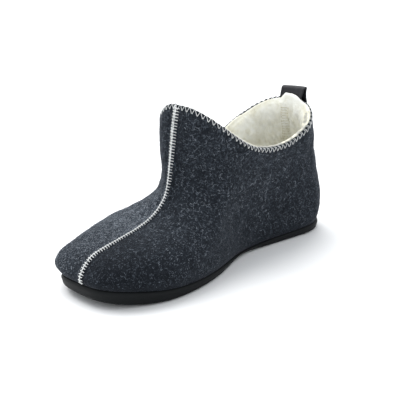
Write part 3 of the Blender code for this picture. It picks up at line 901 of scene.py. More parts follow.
def felt_nap(layer):
    """One layer of nap on the outside of the felt."""
    draw = np.random.default_rng(layer.seed)
    roots, row, column = scatter(felt_points, layer.count, layer.seed)
    lengths = draw.uniform(layer.short, layer.long, layer.count)
    lifts = draw.uniform(layer.low, layer.high, layer.count)
    widths = draw.uniform(layer.thin, layer.wide, layer.count)
    curls = draw.normal(0, NAP_CURL, layer.count)
    from_sole = above_sole(felt_last)[row, column] / HELD_HEIGHT
    from_collar = (len(felt_points) - 1 - row) / HELD_ROWS
    held = np.clip(np.minimum(from_collar, from_sole), HELD_LEAST, 1)
    lengths, lifts = lengths * held, lifts * held
    normals = felt_normals[row, column]
    points, faces = fibre_ribbons(roots, normals, lengths, lifts, curls, widths, layer.steps, layer.seed)
    # Each fibre's random tone is raised or lowered by the felt's painted light and shade below it.
    painted_light = felt_painted_light[row, column]
    tones = draw.beta(*TONE_SHAPE, layer.count) * (1 + PAINTED_LIGHT_GAIN * np.maximum(painted_light, 0))
    tones = np.clip(tones + PAINTED_LIGHT_SHIFT * painted_light, 0, 1)
    return piece(layer.name, points, faces, NAP, "felt", np.repeat(tones, len(points) // layer.count))


for layer in NAP_LAYERS:
    felt_nap(layer)

# %% [markdown]
# ## Thread
# The panels are oversewn with a pale thread: along the front seam as a ladder over the butted edges, and
# round the collar as a row of V stitches. Each stitch is a short path that dives into the felt at both
# ends. Two thin tubes twisted round each path make the plies of a real thread. A bump could fake the twist,
# but the stitches are seen against the dark felt and their outline shows.

# %% Thread material and plies
PLY_APART, PLY_THICK, PLY_LAY = 0.5, 0.6, 1.6


def thread_material(name, dark, light):
    """Twisted cotton thread with a dull sheen."""
    made, tree, shader = start_material(name, roughness=0.75, specular=0.3, sheen=0.25)
    web = use_group(tree, FIBRE_WEB, Scale=1800.0, Tangle=1.0)
    base_colour(tree, shader, web.outputs["Strands"], [(0.0, dark), (1.0, light)])
    bump(tree, shader, web.outputs["Height"], strength=0.4, distance=0.15)
    return made


def twisted_threads(paths, normals, radius, lay=PLY_LAY, sides=6):
    """Two twisted plies along each of many paths with the same number of points: points and faces."""
    ahead = unit(np.gradient(paths, axis=1))
    aside = unit(np.cross(ahead, normals))
    out = np.cross(aside, ahead)
    radius = np.broadcast_to(radius, paths.shape[:2])[..., None]
    length = np.concatenate([np.zeros((len(paths), 1)),
                             np.cumsum(np.linalg.norm(np.diff(paths, axis=1), axis=-1), axis=1)], axis=1)
    around = np.linspace(0, 2 * np.pi, sides, endpoint=False)
    points, faces = [], []
    count, steps = paths.shape[:2]
    for ply in (0, np.pi):
        turn = (length / lay * 2 * np.pi + ply)[..., None]
        centre = paths + (aside * np.cos(turn) + out * np.sin(turn)) * radius * PLY_APART
        circle = aside[:, :, None] * np.cos(around)[:, None] + out[:, :, None] * np.sin(around)[:, None]
        start = sum(map(len, points))
        points.append((centre[:, :, None] + circle * radius[..., None] * PLY_THICK).reshape(-1, 3))
        numbers = start + np.arange(count * steps * sides).reshape(count, steps, sides)
        following = np.roll(numbers, -1, axis=2)
        quads = np.stack([numbers[:, :-1], following[:, :-1], following[:, 1:], numbers[:, 1:]], -1)
        faces += list(quads.reshape(-1, 4)) + list(numbers[:, 0, ::-1]) + list(numbers[:, -1])
    return np.concatenate(points), faces


PALE_THREAD = thread_material("pale_thread", (0.74, 0.75, 0.74), (0.92, 0.92, 0.91))
print("made", PALE_THREAD.name)

# %% [markdown]
# ## The front seam
# The ladder follows the seam from the toe's edge to the peak. Its places are read from the felt's own grid,
# so every bar lies on the cloth. A table gives the bars' reach on both sides, and how far apart, how thick
# and how far aside the two cords are that cover the cut edges. Bars and cords are bold on the shin, where
# the photo shows them clearly, and thin over the vamp.

# %% Seam ladder
SEAM_PITCH, SEAM_STOP, BAR_SEED = 2.35, 0.5, 21
BAR_RADIUS, BAR_STEPS, BAR_JITTER, RUN_JITTER = 0.40, 10, 0.18, 0.1
BAR_LIFT, BAR_DIVE, BAR_DIVE_POWER, BAR_SLANT = 0.42, 0.95, 6, 0.5
CORD_START, CORD_STEPS, CORD_LIFT, CORD_SIDES = 0.4, 420, 0.15, 8
Bar = namedtuple("Bar", "place share medial lateral cord radius aside")
SEAM_BARS = [
    Bar("toe edge", 0.00, 2.4, 1.7, 0.25, 0.32, 1.6),
    Bar("toe top", 0.20, 2.2, 1.2, 0.12, 0.23, 0.4),
    Bar("vamp", 0.45, 1.6, 0.8, 0.12, 0.23, 0.4),
    Bar("throat", 0.62, 2.6, 1.8, 0.20, 0.27, -0.6),
    Bar("shin", 0.78, 3.4, 3.0, 0.45, 0.37, -0.2),
    Bar("peak", 1.00, 4.0, 3.6, 0.70, 0.44, 0.0),
]
Strip = namedtuple("Strip", "points normals across run")


def strip_of(points, normals, across, middle):
    """A band of a grid along a seam, with the length along its middle column."""
    return Strip(points, normals, across, run_length(points[:, middle]))


def on_strip(strip, run, across, lift):
    """Points and normals on a strip at lengths along it and places across it, raised by a lift."""
    rows = np.interp(run, strip.run, np.arange(len(strip.run)))
    points, normals = [], []
    for row, offset in zip(rows, across):
        low = min(int(row), len(strip.run) - 2)
        share = row - low
        band = strip.points[low] * (1 - share) + strip.points[low + 1] * share
        out = strip.normals[low] * (1 - share) + strip.normals[low + 1] * share
        places = strip.across[low] * (1 - share) + strip.across[low + 1] * share
        points.append([np.interp(offset, places, band[:, k]) for k in range(3)])
        normals.append([np.interp(offset, places, out[:, k]) for k in range(3)])
    normals = unit(np.array(normals))
    return np.array(points) + normals * np.asarray(lift)[:, None], normals


SEAM_COLUMN, SEAM_REACH = felt_points.shape[1] // 2, 12
zone = slice(SEAM_COLUMN - SEAM_REACH, SEAM_COLUMN + SEAM_REACH + 1)
front_seam = strip_of(felt_points[:, zone], felt_last.normals[:, zone], felt_last.across[:, zone],
                      SEAM_REACH)
seam_run = front_seam.run
print("front seam", round(seam_run[-1]), "mm long")

# %% Bars and cords


def seam_columns(runs, *names):
    """Columns of the seam's table at lengths along the seam."""
    return [column_curve(SEAM_BARS, "share", name)(runs / seam_run[-1]) for name in names]


def seam_bars():
    """Paths and normals of the ladder's bars."""
    draw = np.random.default_rng(BAR_SEED)
    runs = np.arange(SEAM_PITCH, seam_run[-1] - SEAM_STOP, SEAM_PITCH)
    medial, lateral, aside = seam_columns(runs, "medial", "lateral", "aside")
    medial = medial + aside + draw.normal(0, BAR_JITTER, len(runs))
    lateral = lateral - aside + draw.normal(0, BAR_JITTER, len(runs))
    step = np.linspace(0, 1, BAR_STEPS)
    lift = BAR_LIFT - BAR_DIVE * np.abs(2 * step - 1) ** BAR_DIVE_POWER
    slant = BAR_SLANT * (step - 0.5)
    paths, normals = [], []
    for run, inner, outer in zip(runs + draw.normal(0, RUN_JITTER, len(runs)), medial, lateral):
        across = inner + (-outer - inner) * step
        points, out = on_strip(front_seam, np.clip(run + slant, 0, seam_run[-1]), across, lift)
        paths.append(points)
        normals.append(out)
    return np.array(paths), np.array(normals)


def seam_cords():
    """Paths, normals and radii of the two cords that cover the butted edges."""
    runs = np.linspace(CORD_START, seam_run[-1], CORD_STEPS)
    flat = np.full_like(runs, CORD_LIFT)
    apart, aside, radii = seam_columns(runs, "cord", "aside", "radius")
    both = [on_strip(front_seam, runs, aside + side * apart, flat) for side in (MEDIAL, LATERAL)]
    return np.array([points for points, _ in both]), np.array([out for _, out in both]), radii


bars = twisted_threads(*seam_bars(), BAR_RADIUS)
cords = twisted_threads(*seam_cords(), SEAM_PITCH, CORD_SIDES)
piece("seam_bars", *bars, PALE_THREAD)
piece("seam_cords", *cords, PALE_THREAD)

# %% [markdown]
# ## Fleece lining
# The lining is a thick cream pile, like lambswool. It fills the inside of the felt and swells below the
# collar. Blender's hair could draw the whole pile, but a closed body with ribbons on it has a real
# thickness and can be exported. So big soft lumps are modelled, the curls on top are ribbons again, and the
# material adds the finest fibres. The tone kept on the mesh is painted shade: the lining grows warmer and
# darker with the distance below the collar, and darker along its edge. A seam runs down the inside of the
# heel as a shallow trough.

# %% Fleece material
# Where shade is painted in, the pile goes to warm beige and at most to dark grey.
FLEECE_STOPS = [(0.0, (0.42, 0.415, 0.375)), (0.12, (0.75, 0.725, 0.60)), (0.5, (0.86, 0.855, 0.79)),
                (1.0, (0.89, 0.895, 0.87))]
STRAND_SHARE, PAINTED_SHADE_SHARE, PATCH_RELIEF = 0.5, -0.22, 1.5


def fleece_material():
    """Cream pile, with painted shade from its tone: warmer and darker deep inside and at the edge."""
    made, tree, shader = start_material("cream_fleece", roughness=0.95, specular=0.1, sheen=0.15,
                                        sheen_tint=(1.0, 0.98, 0.92))
    web = use_group(tree, FIBRE_WEB, Scale=420.0, Tangle=3.0)
    patches = use_group(tree, UNEVEN_TONE, Scale=110.0, Contrast=1.3)
    # The mesh's tone is painted shade, which lowers the amount and so darkens the pile.
    deep = add_node(tree, "ShaderNodeAttribute", attribute_name="tone")
    amount = mixed_value(tree, patches.outputs["Tone"], web.outputs["Strands"], STRAND_SHARE)
    amount = mixed_value(tree, amount, deep.outputs["Fac"], PAINTED_SHADE_SHARE)
    base_colour(tree, shader, amount, FLEECE_STOPS)
    relief = mixed_value(tree, web.outputs["Height"], patches.outputs["Tone"], PATCH_RELIEF)
    bump(tree, shader, relief, strength=0.6, distance=1.0)
    return made


FLEECE = fleece_material()
print("made", FLEECE.name)

# %% [markdown]
# ## The fleece's edge
# Along the collar the pile does three things, each as a strength from 0 to 1 for every column of the grid.
# It is fluffed up behind the heel, where the pull loop is. It swells a little on the outer side behind the
# ankle. On the inner side it rolls out over the felt's cut edge. Its painted shade is a strength too.
# The tufts could be sculpted, but strengths that ease in and out along the edge keep one even ring of
# points, so the lining stays one closed body.

# %% Puffs, roll and shade along the edge
PUFF_RISE, PUFF_DEPTH, PUFF_ASIDE, PUFF_REACH = 5.6, 3.0, 4.0, {MEDIAL: 17.0, LATERAL: 11.0}
SIDE_RISE, SIDE_DEPTH, SIDE_PLACE, SIDE_REACH = 1.6, 1.2, 0.30, 0.08
EDGE_RISE, ROLL_RISE, ROLL_COVER, ROLL_SEAT = 0.2, 0.5, 1.8, 0.7
Reach = namedtuple("Reach", "side strength across across_fade up up_fade")
ROLL = Reach(MEDIAL, 1.0, 17.0, 10.0, 0.72, 0.22)
# Painted shade along the edge, stronger on the inner side than on the outer.
SHADES = [Reach(MEDIAL, 2.3, 24.0, 12.0, 0.60, 0.20), Reach(LATERAL, 1.1, 14.0, 14.0, 0.40, 0.25)]
fleece_last = last_surface(to_heel=60, to_collar=84, columns=110)
edge_across, edge_up = fleece_last.across[-1], fleece_last.up[-1]


def along_edge(reach):
    """Strength along the collar on one side: it eases in away from the heel and out towards the shin."""
    eased_in = ease((reach.side * edge_across - reach.across) / reach.across_fade)
    return reach.strength * eased_in * (1 - ease((edge_up - reach.up) / reach.up_fade))


from_puff = edge_across - PUFF_ASIDE
from_puff = from_puff / np.where(from_puff > 0, PUFF_REACH[MEDIAL], PUFF_REACH[LATERAL])
back_puff = np.exp(-(from_puff**4)) * (edge_up < FRONT_HALF)
side_puff = np.exp(-(((edge_up - SIDE_PLACE) / SIDE_REACH) ** 4)) * (edge_across < 0)
edge_roll, edge_shade = along_edge(ROLL), sum(map(along_edge, SHADES))
print("columns with a roll:", int((edge_roll > 0).sum()), "of", len(edge_roll))

# %% Depth of the pile
PILE_EDGE, PILE_TOP, PILE_FOOT, PILE_SWELL, PILE_FULLNESS = 1.8, 7.0, 2.6, 22.0, 2.0
PILE_LUMPS, BIG_LUMP, SMALL_LUMP, SMALL_SHARE, LUMP_DROP = 0.7, 11.0, 6.0, 0.5, 8.0
FOOT_START, FOOT_FADE, LUMP_START, LUMP_FADE = 20.0, 40.0, 12.0, 12.0
BACK_SEAM_DEPTH, BACK_SEAM_WIDTH = 1.0, 2.2


def pile_below(drop, edge):
    """Thickness of the fleece at a distance below the collar: pressed thin by the stitches, then full."""
    return edge + (PILE_TOP - edge) * rounding(drop / PILE_SWELL, PILE_FULLNESS)


def below_edge(last):
    """Distance below the collar's edge, down each column."""
    steps = np.linalg.norm(np.diff(last.points, axis=0), axis=-1)[::-1]
    return np.concatenate([np.cumsum(steps, axis=0)[::-1], np.zeros((1, steps.shape[1]))])


def pile_depth(last):
    """Thickness of the fleece inside the felt, in millimetres."""
    drop = below_edge(last)
    full = pile_below(drop, PILE_EDGE + PUFF_DEPTH * back_puff + SIDE_DEPTH * side_puff)
    depth = PILE_FOOT + (full - PILE_FOOT) * ease((last.height - FOOT_START) / FOOT_FADE)
    lumps = np.abs(ripple(last.points, BIG_LUMP, 31))
    lumps = lumps + SMALL_SHARE * np.abs(ripple(last.points, SMALL_LUMP, 32))
    seam = BACK_SEAM_DEPTH * np.exp(-((last.across / BACK_SEAM_WIDTH) ** 2)) * (last.up < FRONT_HALF)
    shown = ease(drop / LUMP_DROP) * ease((last.height - LUMP_START) / LUMP_FADE)
    return depth + (PILE_LUMPS * lumps - seam) * shown


fleece_depth = pile_depth(fleece_last)
print("pile from", fleece_depth.min().round(1), "to", fleece_depth.max().round(1), "mm deep")

# %% Lining
TUFT_SIZE, TUFT_LEAST, TUFT_MORE = 5.0, 0.15, 0.45
PAINTED_SHADE_START, PAINTED_SHADE_FADE, SHADE_FADE = 6.0, 34.0, 10.0


def fleece_rolls(front, back, last):
    """Rings of the upper edge, which rolls out over the felt and is fluffed up in places."""
    up = unit(last.points[-1] - last.points[-3])
    outer = back + (ROLL_COVER * edge_roll)[:, None] * last.normals[-1]
    outer = outer + (EDGE_RISE + ROLL_SEAT * edge_roll)[:, None] * up
    tufts = TUFT_LEAST + TUFT_MORE * np.maximum(edge_roll, back_puff)
    swell = EDGE_RISE + ROLL_RISE * edge_roll + PUFF_RISE * back_puff + SIDE_RISE * side_puff
    swell = swell + np.abs(ripple(front, TUFT_SIZE, 33)) * tufts
    return [*collar_rims(front, outer, up, swell), outer]


fleece_points = fleece_last.points - (WALL + fleece_depth)[..., None] * fleece_last.normals
fleece_back = fleece_last.points - (WALL + GAP) * fleece_last.normals
fleece_rim = fleece_rolls(fleece_points[-1], fleece_back[-1], fleece_last)
lining_points, lining_faces = shell(fleece_points, fleece_back, fleece_rim, fleece_last.to_heel)
fleece_drop = below_edge(fleece_last)
# Painted shade: warmer and darker with the distance below the collar, plus the edge's painted shade.
fleece_painted_shade = np.clip((fleece_drop - PAINTED_SHADE_START) / PAINTED_SHADE_FADE, 0, 1)
fleece_painted_shade += edge_shade * (1 - ease(fleece_drop / SHADE_FADE))
# The rim rings carry the edge's painted shade.
rim_painted_shade = np.tile(edge_shade[:-1], len(fleece_rim))
hidden = len(lining_points) - fleece_painted_shade.size - len(rim_painted_shade)
lining_tones = np.concatenate([fleece_painted_shade.ravel(), np.zeros(hidden), rim_painted_shade])
piece("fleece_lining", lining_points, [face[::-1] for face in lining_faces], FLEECE, "pile", lining_tones)

# %% Curls on the fleece
CURL_COUNT, CURL_SEED, CURL_STEPS, CURL_TURN = 16000, 41, 4, 1.6
CURL_LENGTH, CURL_LIFT, CURL_WIDTH = (1.2, 3.0), (0.1, 0.8), (0.2, 0.6)
CURL_FIRST_ROW, CURL_FLAT_ROWS = 16, 12.0


def fleece_curls():
    """Short curls on the part of the lining that shows, flat where the stitches press the edge."""
    draw = np.random.default_rng(CURL_SEED)
    first = fleece_last.to_heel + CURL_FIRST_ROW
    surface = fleece_points[first:]
    roots, row, column = scatter(surface, CURL_COUNT, CURL_SEED)
    normals = grid_normals(surface, -fleece_last.normals[first:])[row, column]
    from_edge = ease((len(surface) - 1 - row) / CURL_FLAT_ROWS)
    lengths = draw.uniform(*CURL_LENGTH, CURL_COUNT)
    lifts = draw.uniform(*CURL_LIFT, CURL_COUNT) * from_edge
    curls = draw.normal(0, CURL_TURN, CURL_COUNT)
    widths = draw.uniform(*CURL_WIDTH, CURL_COUNT)
    points, faces = fibre_ribbons(roots, normals, lengths, lifts, curls, widths, CURL_STEPS, CURL_SEED)
    # Each curl takes the painted shade of the lining below it.
    tones = np.repeat(fleece_painted_shade[first:][row, column], len(points) // CURL_COUNT)
    return piece("fleece_curls", points, faces, FLEECE, "pile", tones)


fleece_curls()

# %% [markdown]
# ## The seam inside the heel
# Down the back of the lining runs a flat seam, a ladder of soft cream thread between two lines. It leans a
# little to one side of the trough in the fleece. A bump would look flat from above, so the threads are real
# ones. The band of the grid for them is put together from both sides of the heel.

# %% Heel seam
TAPE_HALF, TAPE_PITCH, TAPE_LOW, TAPE_HIGH, TAPE_REACH = 4.8, 2.6, 52.0, 113.0, 24
TAPE_ASIDE, TAPE_RADIUS = (-7.0, -1.9), 0.3
RUNG_STEPS, RUNG_LIFT, RUNG_DIVE, RUNG_DIVE_POWER, LINE_STEPS, LINE_LIFT = 12, 0.25, 0.5, 8, 60, 0.1
CREAM_THREAD = thread_material("cream_thread", (0.54, 0.50, 0.35), (0.74, 0.71, 0.56))
heel_columns = [*range(TAPE_REACH, 0, -1), 0, *range(-2, -TAPE_REACH - 2, -1)]
heel_rows = slice(fleece_last.to_heel, None)
fleece_normals = grid_normals(fleece_points, -fleece_last.normals)
heel_seam = strip_of(fleece_points[heel_rows][:, heel_columns], fleece_normals[heel_rows][:, heel_columns],
                     fleece_last.across[heel_rows][:, heel_columns], TAPE_REACH)
print("heel band reaches", heel_seam.across[:, [0, -1]].round(1)[::20].tolist(), "mm to each side")


def heel_ladder():
    """Paths and normals of the threads across the heel seam and of the two lines along it."""
    heights = fleece_last.height[heel_rows, 0]
    ends = np.interp([TAPE_LOW, TAPE_HIGH], heights, heel_seam.run)
    step = np.linspace(-1, 1, RUNG_STEPS)
    dive = RUNG_LIFT - RUNG_DIVE * step**RUNG_DIVE_POWER
    rungs = [on_strip(heel_seam, run + 0 * step, np.interp(run, ends, TAPE_ASIDE) + TAPE_HALF * step, dive)
             for run in np.arange(ends[0], ends[1], TAPE_PITCH)]
    lengths, middle = np.linspace(*ends, LINE_STEPS), np.linspace(*TAPE_ASIDE, LINE_STEPS)
    lines = [on_strip(heel_seam, lengths, middle + side * TAPE_HALF, LINE_LIFT + 0 * lengths)
             for side in (-1, 1)]
    return rungs, lines


for name, threads in zip(("heel_rungs", "heel_lines"), heel_ladder()):
    paths, normals = (np.array(part) for part in zip(*threads))
    piece(name, *twisted_threads(paths, normals, TAPE_RADIUS), CREAM_THREAD)

# %% [markdown]
# ## The collar's V stitches
# Each stitch starts at a point below the edge and sends two arms up and over it, so a row of V shapes
# shows outside and short bars show on the edge itself. One stitch could be copied along the edge, but the
# edge bends and rises. So each arm is followed up the felt's columns and then over the rounded rim, which
# keeps it on the cloth from any side. Under the strap of the pull loop there are none.

# %% Collar stitches
STITCH_DEPTH, STITCH_SPREAD, STITCH_RADIUS = 3.7, 0.36, 0.25
STITCH_OVER, STITCH_END, STITCH_LIFT, STITCH_DIVE, STITCH_DIVE_POWER = 0.45, 0.9, 0.25, 0.8, 8
LOOP_WIDTH, LOOP_OFFSET, LOOP_CLEAR = 28.0, 4.0, 1.5
OUT_STEPS, OVER_STEPS, REACH_ROWS = 8, 7, 14
felt_drop = np.cumsum(np.linalg.norm(np.diff(felt_points[:-REACH_ROWS - 1:-1], axis=0), axis=-1), axis=0)
felt_drop = np.concatenate([np.zeros((1, felt_drop.shape[1])), felt_drop])


def below_collar(column, drop):
    """Point and normal on the felt below the collar, at a fraction of a column and a distance down."""
    low = min(int(column), felt_points.shape[1] - 2)
    share = column - low
    found = []
    for grid in (felt_points, felt_last.normals):
        down = grid[:-REACH_ROWS - 1:-1]
        ends = [[np.interp(drop, felt_drop[:, c], down[:, c, k]) for k in range(3)] for c in (low, low + 1)]
        found.append(np.array(ends[0]) * (1 - share) + np.array(ends[1]) * share)
    return found[0], unit(found[1])


def stitch_arm(stitch, lean):
    """Path and normals of one arm: from the tip of the V up to the edge, over it and into the fleece."""
    path, normals = [], []
    for step in np.linspace(0, 1, OUT_STEPS):
        column = np.interp((stitch + 0.5 + lean * STITCH_SPREAD * step) % COLLAR_STITCHES, collar_phase,
                           np.arange(len(collar_phase)))
        point, out = below_collar(column, STITCH_DEPTH * (1 - step))
        path.append(point + out * (STITCH_LIFT - STITCH_DIVE * (1 - step) ** STITCH_DIVE_POWER))
        normals.append(out)
    inward = -(WALL + STITCH_END) * out
    up = np.array([np.interp(column, np.arange(len(collar_up)), collar_up[:, k]) for k in range(3)])
    for turn in np.linspace(0, np.pi, OVER_STEPS + 1)[1:]:
        lifted = up * STITCH_OVER * np.sin(turn) + STITCH_LIFT * np.cos(turn) * out
        path.append(point + inward * (1 - np.cos(turn)) / 2 + lifted)
        normals.append(unit(out * np.cos(turn) + up * np.sin(turn)))
    path.append(point + inward - up)
    normals.append(-out)
    return path, normals


def under_loop(stitch):
    """Whether the strap of the pull loop covers a stitch."""
    place = np.interp(stitch + 0.5, collar_phase, np.arange(len(collar_phase))).astype(int)
    at_back = felt_last.up[-1, place] < FRONT_HALF
    return at_back and abs(felt_last.across[-1, place] - LOOP_OFFSET) < LOOP_WIDTH / 2 + LOOP_CLEAR


sewn = [stitch for stitch in range(COLLAR_STITCHES) if not under_loop(stitch)]
arms = [stitch_arm(stitch, lean) for stitch in sewn for lean in (-1, 1)]
arm_paths, arm_normals = (np.array(part) for part in zip(*arms))
piece("collar_stitches", *twisted_threads(arm_paths, arm_normals, STITCH_RADIUS), PALE_THREAD)

# %% [markdown]
# ## The footbed
# A pile-covered insole closes the inside. Only its heel shows, from above, but it is finished to the toe. A
# bevelled slab would do for the shape, but a grid across the outline takes a rounded edge and the same kind
# of lumps as the lining, over a flat underside.

# %% Insole
INSOLE_INSET, INSOLE_THICKNESS, INSOLE_EDGE = WALL + 0.4, 5.0, 4.0
BED_STEPS, BED_COLUMNS, BED_LEAST_HALF = 130, 44, 0.6
BED_EDGE_SHARE, BED_LUMPS, BED_LUMP_SIZE, BED_LUMP_FADE, BED_SINK = 0.55, 0.5, 8.0, 6.0, 0.3


def half_edges(stations):
    """Sideways places of the upper's lower edge on both sides."""
    return [side_x(stations, edge_height[side](stations), side) for side in (LATERAL, MEDIAL)]


def make_footbed():
    """Closed footbed between the two sides of the upper's edge."""
    stations = spread(heel_edge() + INSOLE_INSET, FRONT_LINE[0].station - INSOLE_INSET, BED_STEPS)
    lateral, medial = half_edges(stations)
    middle, half = (lateral + medial) / 2, (medial - lateral) / 2 - INSOLE_INSET
    half = np.maximum(half, BED_LEAST_HALF)
    across = np.sin(np.linspace(-np.pi / 2, np.pi / 2, BED_COLUMNS + 1))
    x = middle[:, None] + half[:, None] * across
    ends = np.minimum(stations - stations[0], stations[-1] - stations)[:, None]
    edge = np.minimum(half[:, None] * (1 - np.abs(across)), ends)
    low, high = (edge_height[side](stations)[:, None] for side in (LATERAL, MEDIAL))
    flat = placed(x, stations[:, None], low + (high - low) * (across + 1) / 2)
    lumps = BED_LUMPS * np.abs(ripple(flat, BED_LUMP_SIZE, 51)) * ease(edge / BED_LUMP_FADE)
    crown = BED_EDGE_SHARE + (1 - BED_EDGE_SHARE) * rounding(edge / INSOLE_EDGE, 2.0)
    top = flat + (INSOLE_THICKNESS * crown + lumps - BED_SINK)[..., None] * (0, 0, 1)
    numbers = np.arange(top.shape[0] * top.shape[1]).reshape(top.shape[:2])
    below = numbers + numbers.size
    ring = np.concatenate([numbers[0], numbers[1:, -1], numbers[-1, -2::-1], numbers[-2:0:-1, 0]])
    faces = list(grid_quads(numbers)[:, ::-1]) + list(grid_quads(below))
    faces += list(ring_band(ring, ring + numbers.size))
    points = np.concatenate([top.reshape(-1, 3), flat.reshape(-1, 3)])
    return piece("footbed", points, [face[::-1] for face in faces], FLEECE, "pile")


footbed = make_footbed()
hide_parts("insole")

# %% [markdown]
# ## Rubber sole
# The sole is one black moulding: a soft lip under the felt, a smooth side that turns in to the tread, two
# flat pads and a raised waist. An extruded outline with a bevel would have one height all round, so the
# side is a stack of rings through a short table of steps, smoothed by a spline. Shallow waves are cut into
# the underside, up into the rubber, so the pads still stand on the floor.

# %% Outline and tread of the sole
HEEL_PAD, BALL_PAD = (16.0, 78.0), (150.0, 206.0)
TOE_SPRING, WAIST_RISE, HEEL_BEVEL = 6.5, 2.2, 3.0
Rim = namedtuple("Rim", "place share out")
SOLE_RIM = [
    Rim("top edge", 0.00, 0.2),
    Rim("lip", 0.10, 1.0),
    Rim("wall", 0.60, 0.8),
    Rim("foot", 0.88, -0.2),
    Rim("tread edge", 1.00, -1.8),
]
SOLE_STEPS, SOLE_RINGS, RING_POWER, TREAD_COLUMNS = 150, 14, 0.9, 70
GROOVE_PITCH, GROOVE_DEPTH, GROOVE_BORDER, BORDER_FADE = 8.0, 1.1, 5.0, 2.0
GROOVE_SWAY, GROOVE_SWAY_LENGTH, GROOVE_CUT, GROOVE_SLOPE = 3.0, 26.0, 0.35, 0.4
RUBBER_LEAST, RUBBER_FULL = 2.0, 3.0


def tread_height(station):
    """Height of the sole's underside: a bevel at the heel, flat pads, a raised waist and the toe spring."""
    heel = np.clip(1 - station / HEEL_PAD[0], 0, 2) ** 2 * HEEL_BEVEL
    waist = np.clip((station - HEEL_PAD[1]) / (BALL_PAD[0] - HEEL_PAD[1]), 0, 1)
    toe = np.clip((station - BALL_PAD[1]) / (LENGTH - BALL_PAD[1]), 0, 2) ** 2 * TOE_SPRING
    return heel + np.sin(np.pi * waist) ** 2 * WAIST_RISE + toe


def sole_outline(distance):
    """Closed outline of the upper's edge, moved out: to the toe on the medial side, then back."""
    stations = spread(heel_edge(), FRONT_LINE[0].station, SOLE_STEPS)
    lateral, medial = half_edges(stations)
    outline = np.concatenate([np.stack([medial, stations], -1), np.stack([lateral, stations], -1)[-2:0:-1]])
    run = np.roll(outline, -1, axis=0) - np.roll(outline, 1, axis=0)
    return outline + unit(np.stack([run[:, 1], -run[:, 0]], -1)) * distance


def tread_grid(ring):
    """Underside between the two halves of the last ring, with waved grooves cut up into it."""
    medial, lateral = ring[: SOLE_STEPS + 1], np.concatenate([ring[:1], ring[:SOLE_STEPS - 1:-1]])
    share = (1 - np.cos(np.linspace(0, np.pi, TREAD_COLUMNS + 1)))[None, :, None] / 2
    grid = medial[:, None] + (lateral - medial)[:, None] * share
    x, station = grid[..., 0], LENGTH / 2 - grid[..., 1]
    swayed = station + GROOVE_SWAY * np.cos(2 * np.pi * x / GROOVE_SWAY_LENGTH)
    wave = np.cos(2 * np.pi * swayed / GROOVE_PITCH)
    edge = np.minimum(x - lateral[:, None, 0], medial[:, None, 0] - x)
    ends = np.minimum(station - station.min(), station.max() - station)
    inside = ease((np.minimum(edge, ends) - GROOVE_BORDER) / BORDER_FADE)
    lowest = np.minimum(*[edge_height[side](np.clip(station, 0, LENGTH)) for side in (MEDIAL, LATERAL)])
    room = np.clip((lowest - tread_height(station) - RUBBER_LEAST) / RUBBER_FULL, 0, 1)
    groove = GROOVE_DEPTH * ease((wave - GROOVE_CUT) / GROOVE_SLOPE)
    grid[..., 2] = tread_height(station) + groove * inside * room
    return grid


print("the toe springs", round(float(tread_height(LENGTH)), 1), "mm off the floor")

# %% Body of the sole


def make_sole():
    """The rubber sole as stacked rings, a flat top and the waved tread."""
    out = column_curve(SOLE_RIM, "share", "out")
    rings = []
    for share in np.linspace(0, 1, SOLE_RINGS) ** RING_POWER:
        outline = sole_outline(float(out(share)))
        stations = np.clip(outline[:, 1], 0, LENGTH)
        edges = [edge_height[side](stations) for side in (MEDIAL, LATERAL)]
        top = np.where(np.arange(len(outline)) <= SOLE_STEPS, *edges) - GAP
        height = top + (tread_height(outline[:, 1]) - top) * share
        rings.append(placed(outline[:, 0], outline[:, 1], height))
    size = len(rings[0])
    numbers = np.arange(size * SOLE_RINGS).reshape(SOLE_RINGS, size)
    faces = [face for first, second in zip(numbers, numbers[1:]) for face in ring_band(first, second)]
    top = numbers[0]
    for i in range(SOLE_STEPS):
        faces.append(tuple(dict.fromkeys((top[-i], top[-i - 1], top[i + 1], top[i]))))
    tread = tread_grid(rings[-1])[1:-1, 1:-1]
    last = numbers[-1]
    grid = np.empty((SOLE_STEPS + 1, TREAD_COLUMNS + 1), int)
    grid[1:-1, 1:-1] = size * SOLE_RINGS + np.arange(tread.size // 3).reshape(tread.shape[:2])
    grid[:, 0] = last[: SOLE_STEPS + 1]
    grid[1:-1, -1] = last[:SOLE_STEPS:-1]
    grid[0], grid[-1] = last[0], last[SOLE_STEPS]
    for quad in grid_quads(grid):
        corners = tuple(dict.fromkeys(quad))
        if len(corners) > 2:
            faces.append(corners)
    return np.concatenate([*rings, tread.reshape(-1, 3)]), faces


sole_points, sole_faces = make_sole()
print("the sole reaches", sole_points[:, 2].max().round(1), "mm up")

# %% Rubber


def rubber_material():
    """Black moulded rubber, half matt, with a faint bloom."""
    made, tree, shader = start_material("black_rubber", roughness=0.5, specular=0.14)
    grain = use_group(tree, PEBBLE_GRAIN, Scale=1100.0, Softness=0.6)
    bloom = use_group(tree, UNEVEN_TONE, Scale=45.0, Contrast=1.6)
    stops = [(0.0, (0.002, 0.0027, 0.0031)), (1.0, (0.006, 0.0072, 0.008))]
    base_colour(tree, shader, bloom.outputs["Tone"], stops)
    rough = add_node(tree, "ShaderNodeMapRange")
    rough.inputs["To Min"].default_value = 0.48
    rough.inputs["To Max"].default_value = 0.68
    tree.links.new(bloom.outputs["Tone"], rough.inputs["Value"])
    tree.links.new(rough.outputs["Result"], shader.inputs["Roughness"])
    bump(tree, shader, grain.outputs["Height"], strength=0.12, distance=0.2)
    return made


sole = piece("rubber_sole", sole_points, sole_faces, rubber_material(), "rubber")
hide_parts("outsole")

# %% [markdown]
# ## Pull loop
# A strap of black leather is folded over the back of the collar, with one leg outside and one under the
# lining. A box could be bent by modifiers, but the heel is round two ways. So the strap is swept across the
# heel from one side view of the fold, and its long edges are thinned so that they look cut and burnished.
# A row of black stitches holds the outer leg.

